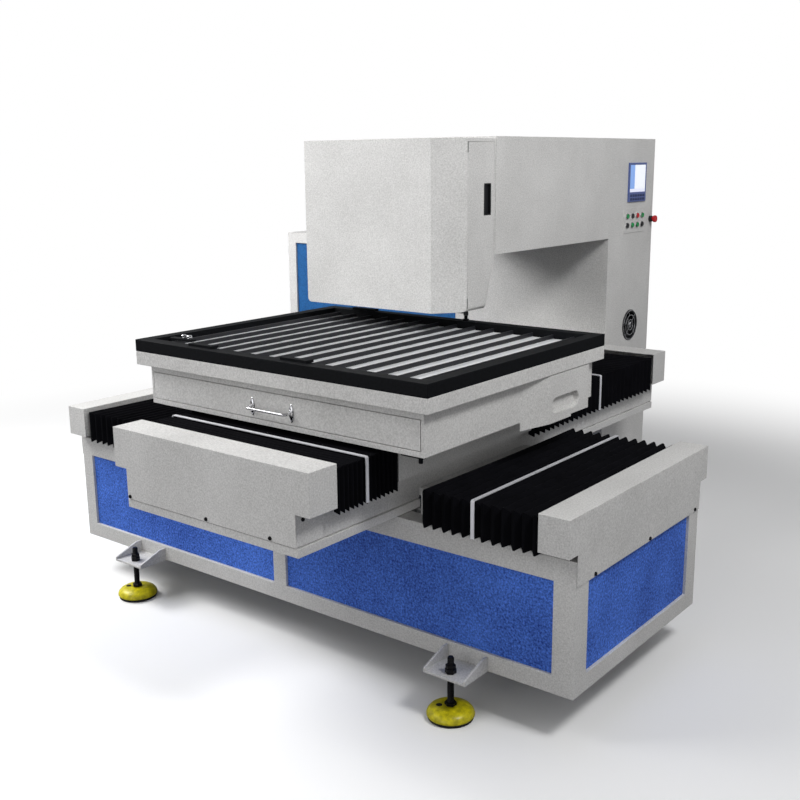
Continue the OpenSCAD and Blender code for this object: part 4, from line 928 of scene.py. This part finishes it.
# %% Stop and thumb screws
frame_low, frame_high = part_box("slat_frame")
FINGER_SIZE = (120 * MM, 22 * MM, 8 * MM)
FINGER_DOWN = 6 * MM
KNOB_DOWN = 2 * MM
KNOBS_MM = (8, 38)
stop_x = frame_low.x + 120 * MM
stop_y = frame_low.y + 125 * MM
clear()
bpy.ops.mesh.primitive_cube_add(size=1, location=(stop_x, stop_y, frame_high.z - FINGER_DOWN))
finger = bpy.context.object
finger.scale = FINGER_SIZE
settle(finger)
use_modifier(finger, "BEVEL", width=1.5 * MM, segments=2)
finish(finger, "stop_finger", black_coat, "table")
knob = turned([(5, 0), (5, 3), (9, 3.5), (10, 5), (10, 12), (8.5, 14), (4, 14.5)], sides=24)
knob_places = [(stop_x + x * MM, stop_y, frame_high.z - KNOB_DOWN) for x in KNOBS_MM]
finish(copies(knob, knob_places), "stop_thumb_screws", chrome, "table")
print("sheet stop at", round(stop_x, 3), round(stop_y, 3))

# %% [markdown]
# ## Rear doors
# The rear is not seen in the photograph, so it gets what such cabinets have: rows of pressed
# louvres for air. A louvre is a plane whose one long edge is pulled out and which is then given
# thickness; rows of copies make a field. The door's box ends at its hinge barrels, so its skin
# lies one barrel further in.

# %% Louvres
BARREL = 18 * MM
LOUVRE_WIDE = 220 * MM
LOUVRE_TALL = 14 * MM
LOUVRE_OUT = 7 * MM
LOUVRE_PITCH = 26 * MM
LOUVRE_GAP = 1 * MM


def louvre_field(door, body, name, rows, centre_share):
    """A field of louvres on a door, centred at a share of the door's height."""
    low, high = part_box(door)
    skin_y = high.y - BARREL
    clear()
    bpy.ops.mesh.primitive_plane_add(size=1, rotation=(QUARTER, 0, 0))
    slat = bpy.context.object
    slat.scale = (LOUVRE_WIDE, LOUVRE_TALL, 1)
    settle(slat)
    choose(slat, "EDGE", lambda mid: mid.z < -6 * MM)
    bpy.ops.transform.translate(value=(0, LOUVRE_OUT, 0))
    bpy.ops.object.mode_set(mode="OBJECT")
    use_modifier(slat, "SOLIDIFY", thickness=1.5 * MM, offset=0)
    use_modifier(slat, "BEVEL", width=0.5 * MM, segments=2)
    x = (low.x + high.x) / 2
    z = low.z + (high.z - low.z) * centre_share
    places = [(x, skin_y + LOUVRE_GAP, z + (row - rows / 2) * LOUVRE_PITCH) for row in range(rows)]
    finish(copies(slat, places), name, grey_coat, body)


louvre_field("column_door", "rear_door_column", "column_louvres", 14, 0.2)
louvre_field("cabinet_door", "rear_door_cabinet", "cabinet_louvres", 14, 0.25)

# %% [markdown]
# ## Floor and light
# The photograph's ground is plain white. The floor is white to the camera and grey to all other
# rays, so that it takes a shadow but throws little light up under the machine, and it fades into
# pure white away from it. Four area lamps stand front left, right, left and near the camera. The
# surround is brighter at the horizon than overhead, and plain white to the camera.

# %% Floor, lamps and surround
FLOOR_SIZE = 60
FADE_FROM, FADE_TO = 2.2, 4.5
HORIZON_LEVEL, TOP_LEVEL = 0.66, 0.12
WHITE = srgb("#FFFFFF")
clear()
bpy.ops.mesh.primitive_plane_add(size=FLOOR_SIZE, location=(0, 0, 0))
floor = bpy.context.object
floor.name = "studio_floor"
floor_coat, tree, place = start_material("pale_floor")
far = add(tree, "ShaderNodeVectorMath", {0: (place, "Object")}, operation="LENGTH")
fade = add(tree, "ShaderNodeMapRange", {"Value": (far, "Value"), "From Min": FADE_FROM, "From Max": FADE_TO},
    interpolation_type="SMOOTHSTEP")
seen = add(tree, "ShaderNodeLightPath", {})
ground = add(tree, "ShaderNodeMix", {"Factor": (seen, "Is Camera Ray"), "A": srgb("#8E8E90"), "B": WHITE},
    data_type="RGBA")
matte = add(tree, "ShaderNodeBsdfPrincipled", {"Base Color": (ground, "Result"), "Roughness": 0.9})
paper = add(tree, "ShaderNodeEmission", {"Color": WHITE, "Strength": 1.0})
white = add(tree, "ShaderNodeMath", {0: (fade, "Result"), 1: (seen, "Is Camera Ray")}, operation="MULTIPLY")
mixed = add(tree, "ShaderNodeMixShader", {0: (white, "Value"), 1: (matte, "BSDF"), 2: (paper, "Emission")})
add(tree, "ShaderNodeOutputMaterial", {"Surface": (mixed, "Shader")})
floor.data.materials.append(floor_coat)


def lamp(name, at, aim, size, power):
    """A square lamp in metres and watts, turned towards a place."""
    clear()
    bpy.ops.object.light_add(type="AREA", location=at)
    light = bpy.context.object
    light.name = name
    light.data.size = size
    light.data.energy = power
    light.rotation_euler = (Vector(aim) - Vector(at)).to_track_quat("-Z", "Y").to_euler()


lamp("front_lamp", (-2.2, -3.0, 4.2), (0, -0.3, 1.6), 2.6, 112)
lamp("right_lamp", (3.5, -0.9, 3.9), (0.5, 0.9, 2.6), 1.0, 106)
lamp("left_lamp", (-3.2, -1.4, 3.2), (0.2, 0.9, 1.6), 1.4, 130)
lamp("camera_lamp", (0.9, -6.0, 1.6), (0, 0, 0.7), 2.6, 34)

world = bpy.data.worlds.new("studio_surround")
bpy.context.scene.world = world
world.use_nodes = True
world_tree = world.node_tree
world_tree.nodes.clear()
sky = add(world_tree, "ShaderNodeTexCoord", {})
sky_axes = add(world_tree, "ShaderNodeSeparateXYZ", {"Vector": (sky, "Generated")})
level = add(world_tree, "ShaderNodeMapRange", {"Value": (sky_axes, "Z"), "To Min": HORIZON_LEVEL,
    "To Max": TOP_LEVEL})
glow = add(world_tree, "ShaderNodeBackground", {"Color": srgb("#F2F3F5"), "Strength": (level, "Result")})
backdrop = add(world_tree, "ShaderNodeBackground", {"Color": WHITE, "Strength": 1.0})
seen = add(world_tree, "ShaderNodeLightPath", {})
surround = add(world_tree, "ShaderNodeMixShader", {0: (seen, "Is Camera Ray"), 1: (glow, "Background"),
    2: (backdrop, "Background")})
add(world_tree, "ShaderNodeOutputWorld", {"Surface": (surround, "Shader")})
bpy.context.scene.view_settings.view_transform = "Standard"
print("floor, lamps and surround ready")

# %% [markdown]
# ## Close
# Only the heads of the cover screws stand out past the box of the solids, by 5 mm.

# %% Finish
clear()
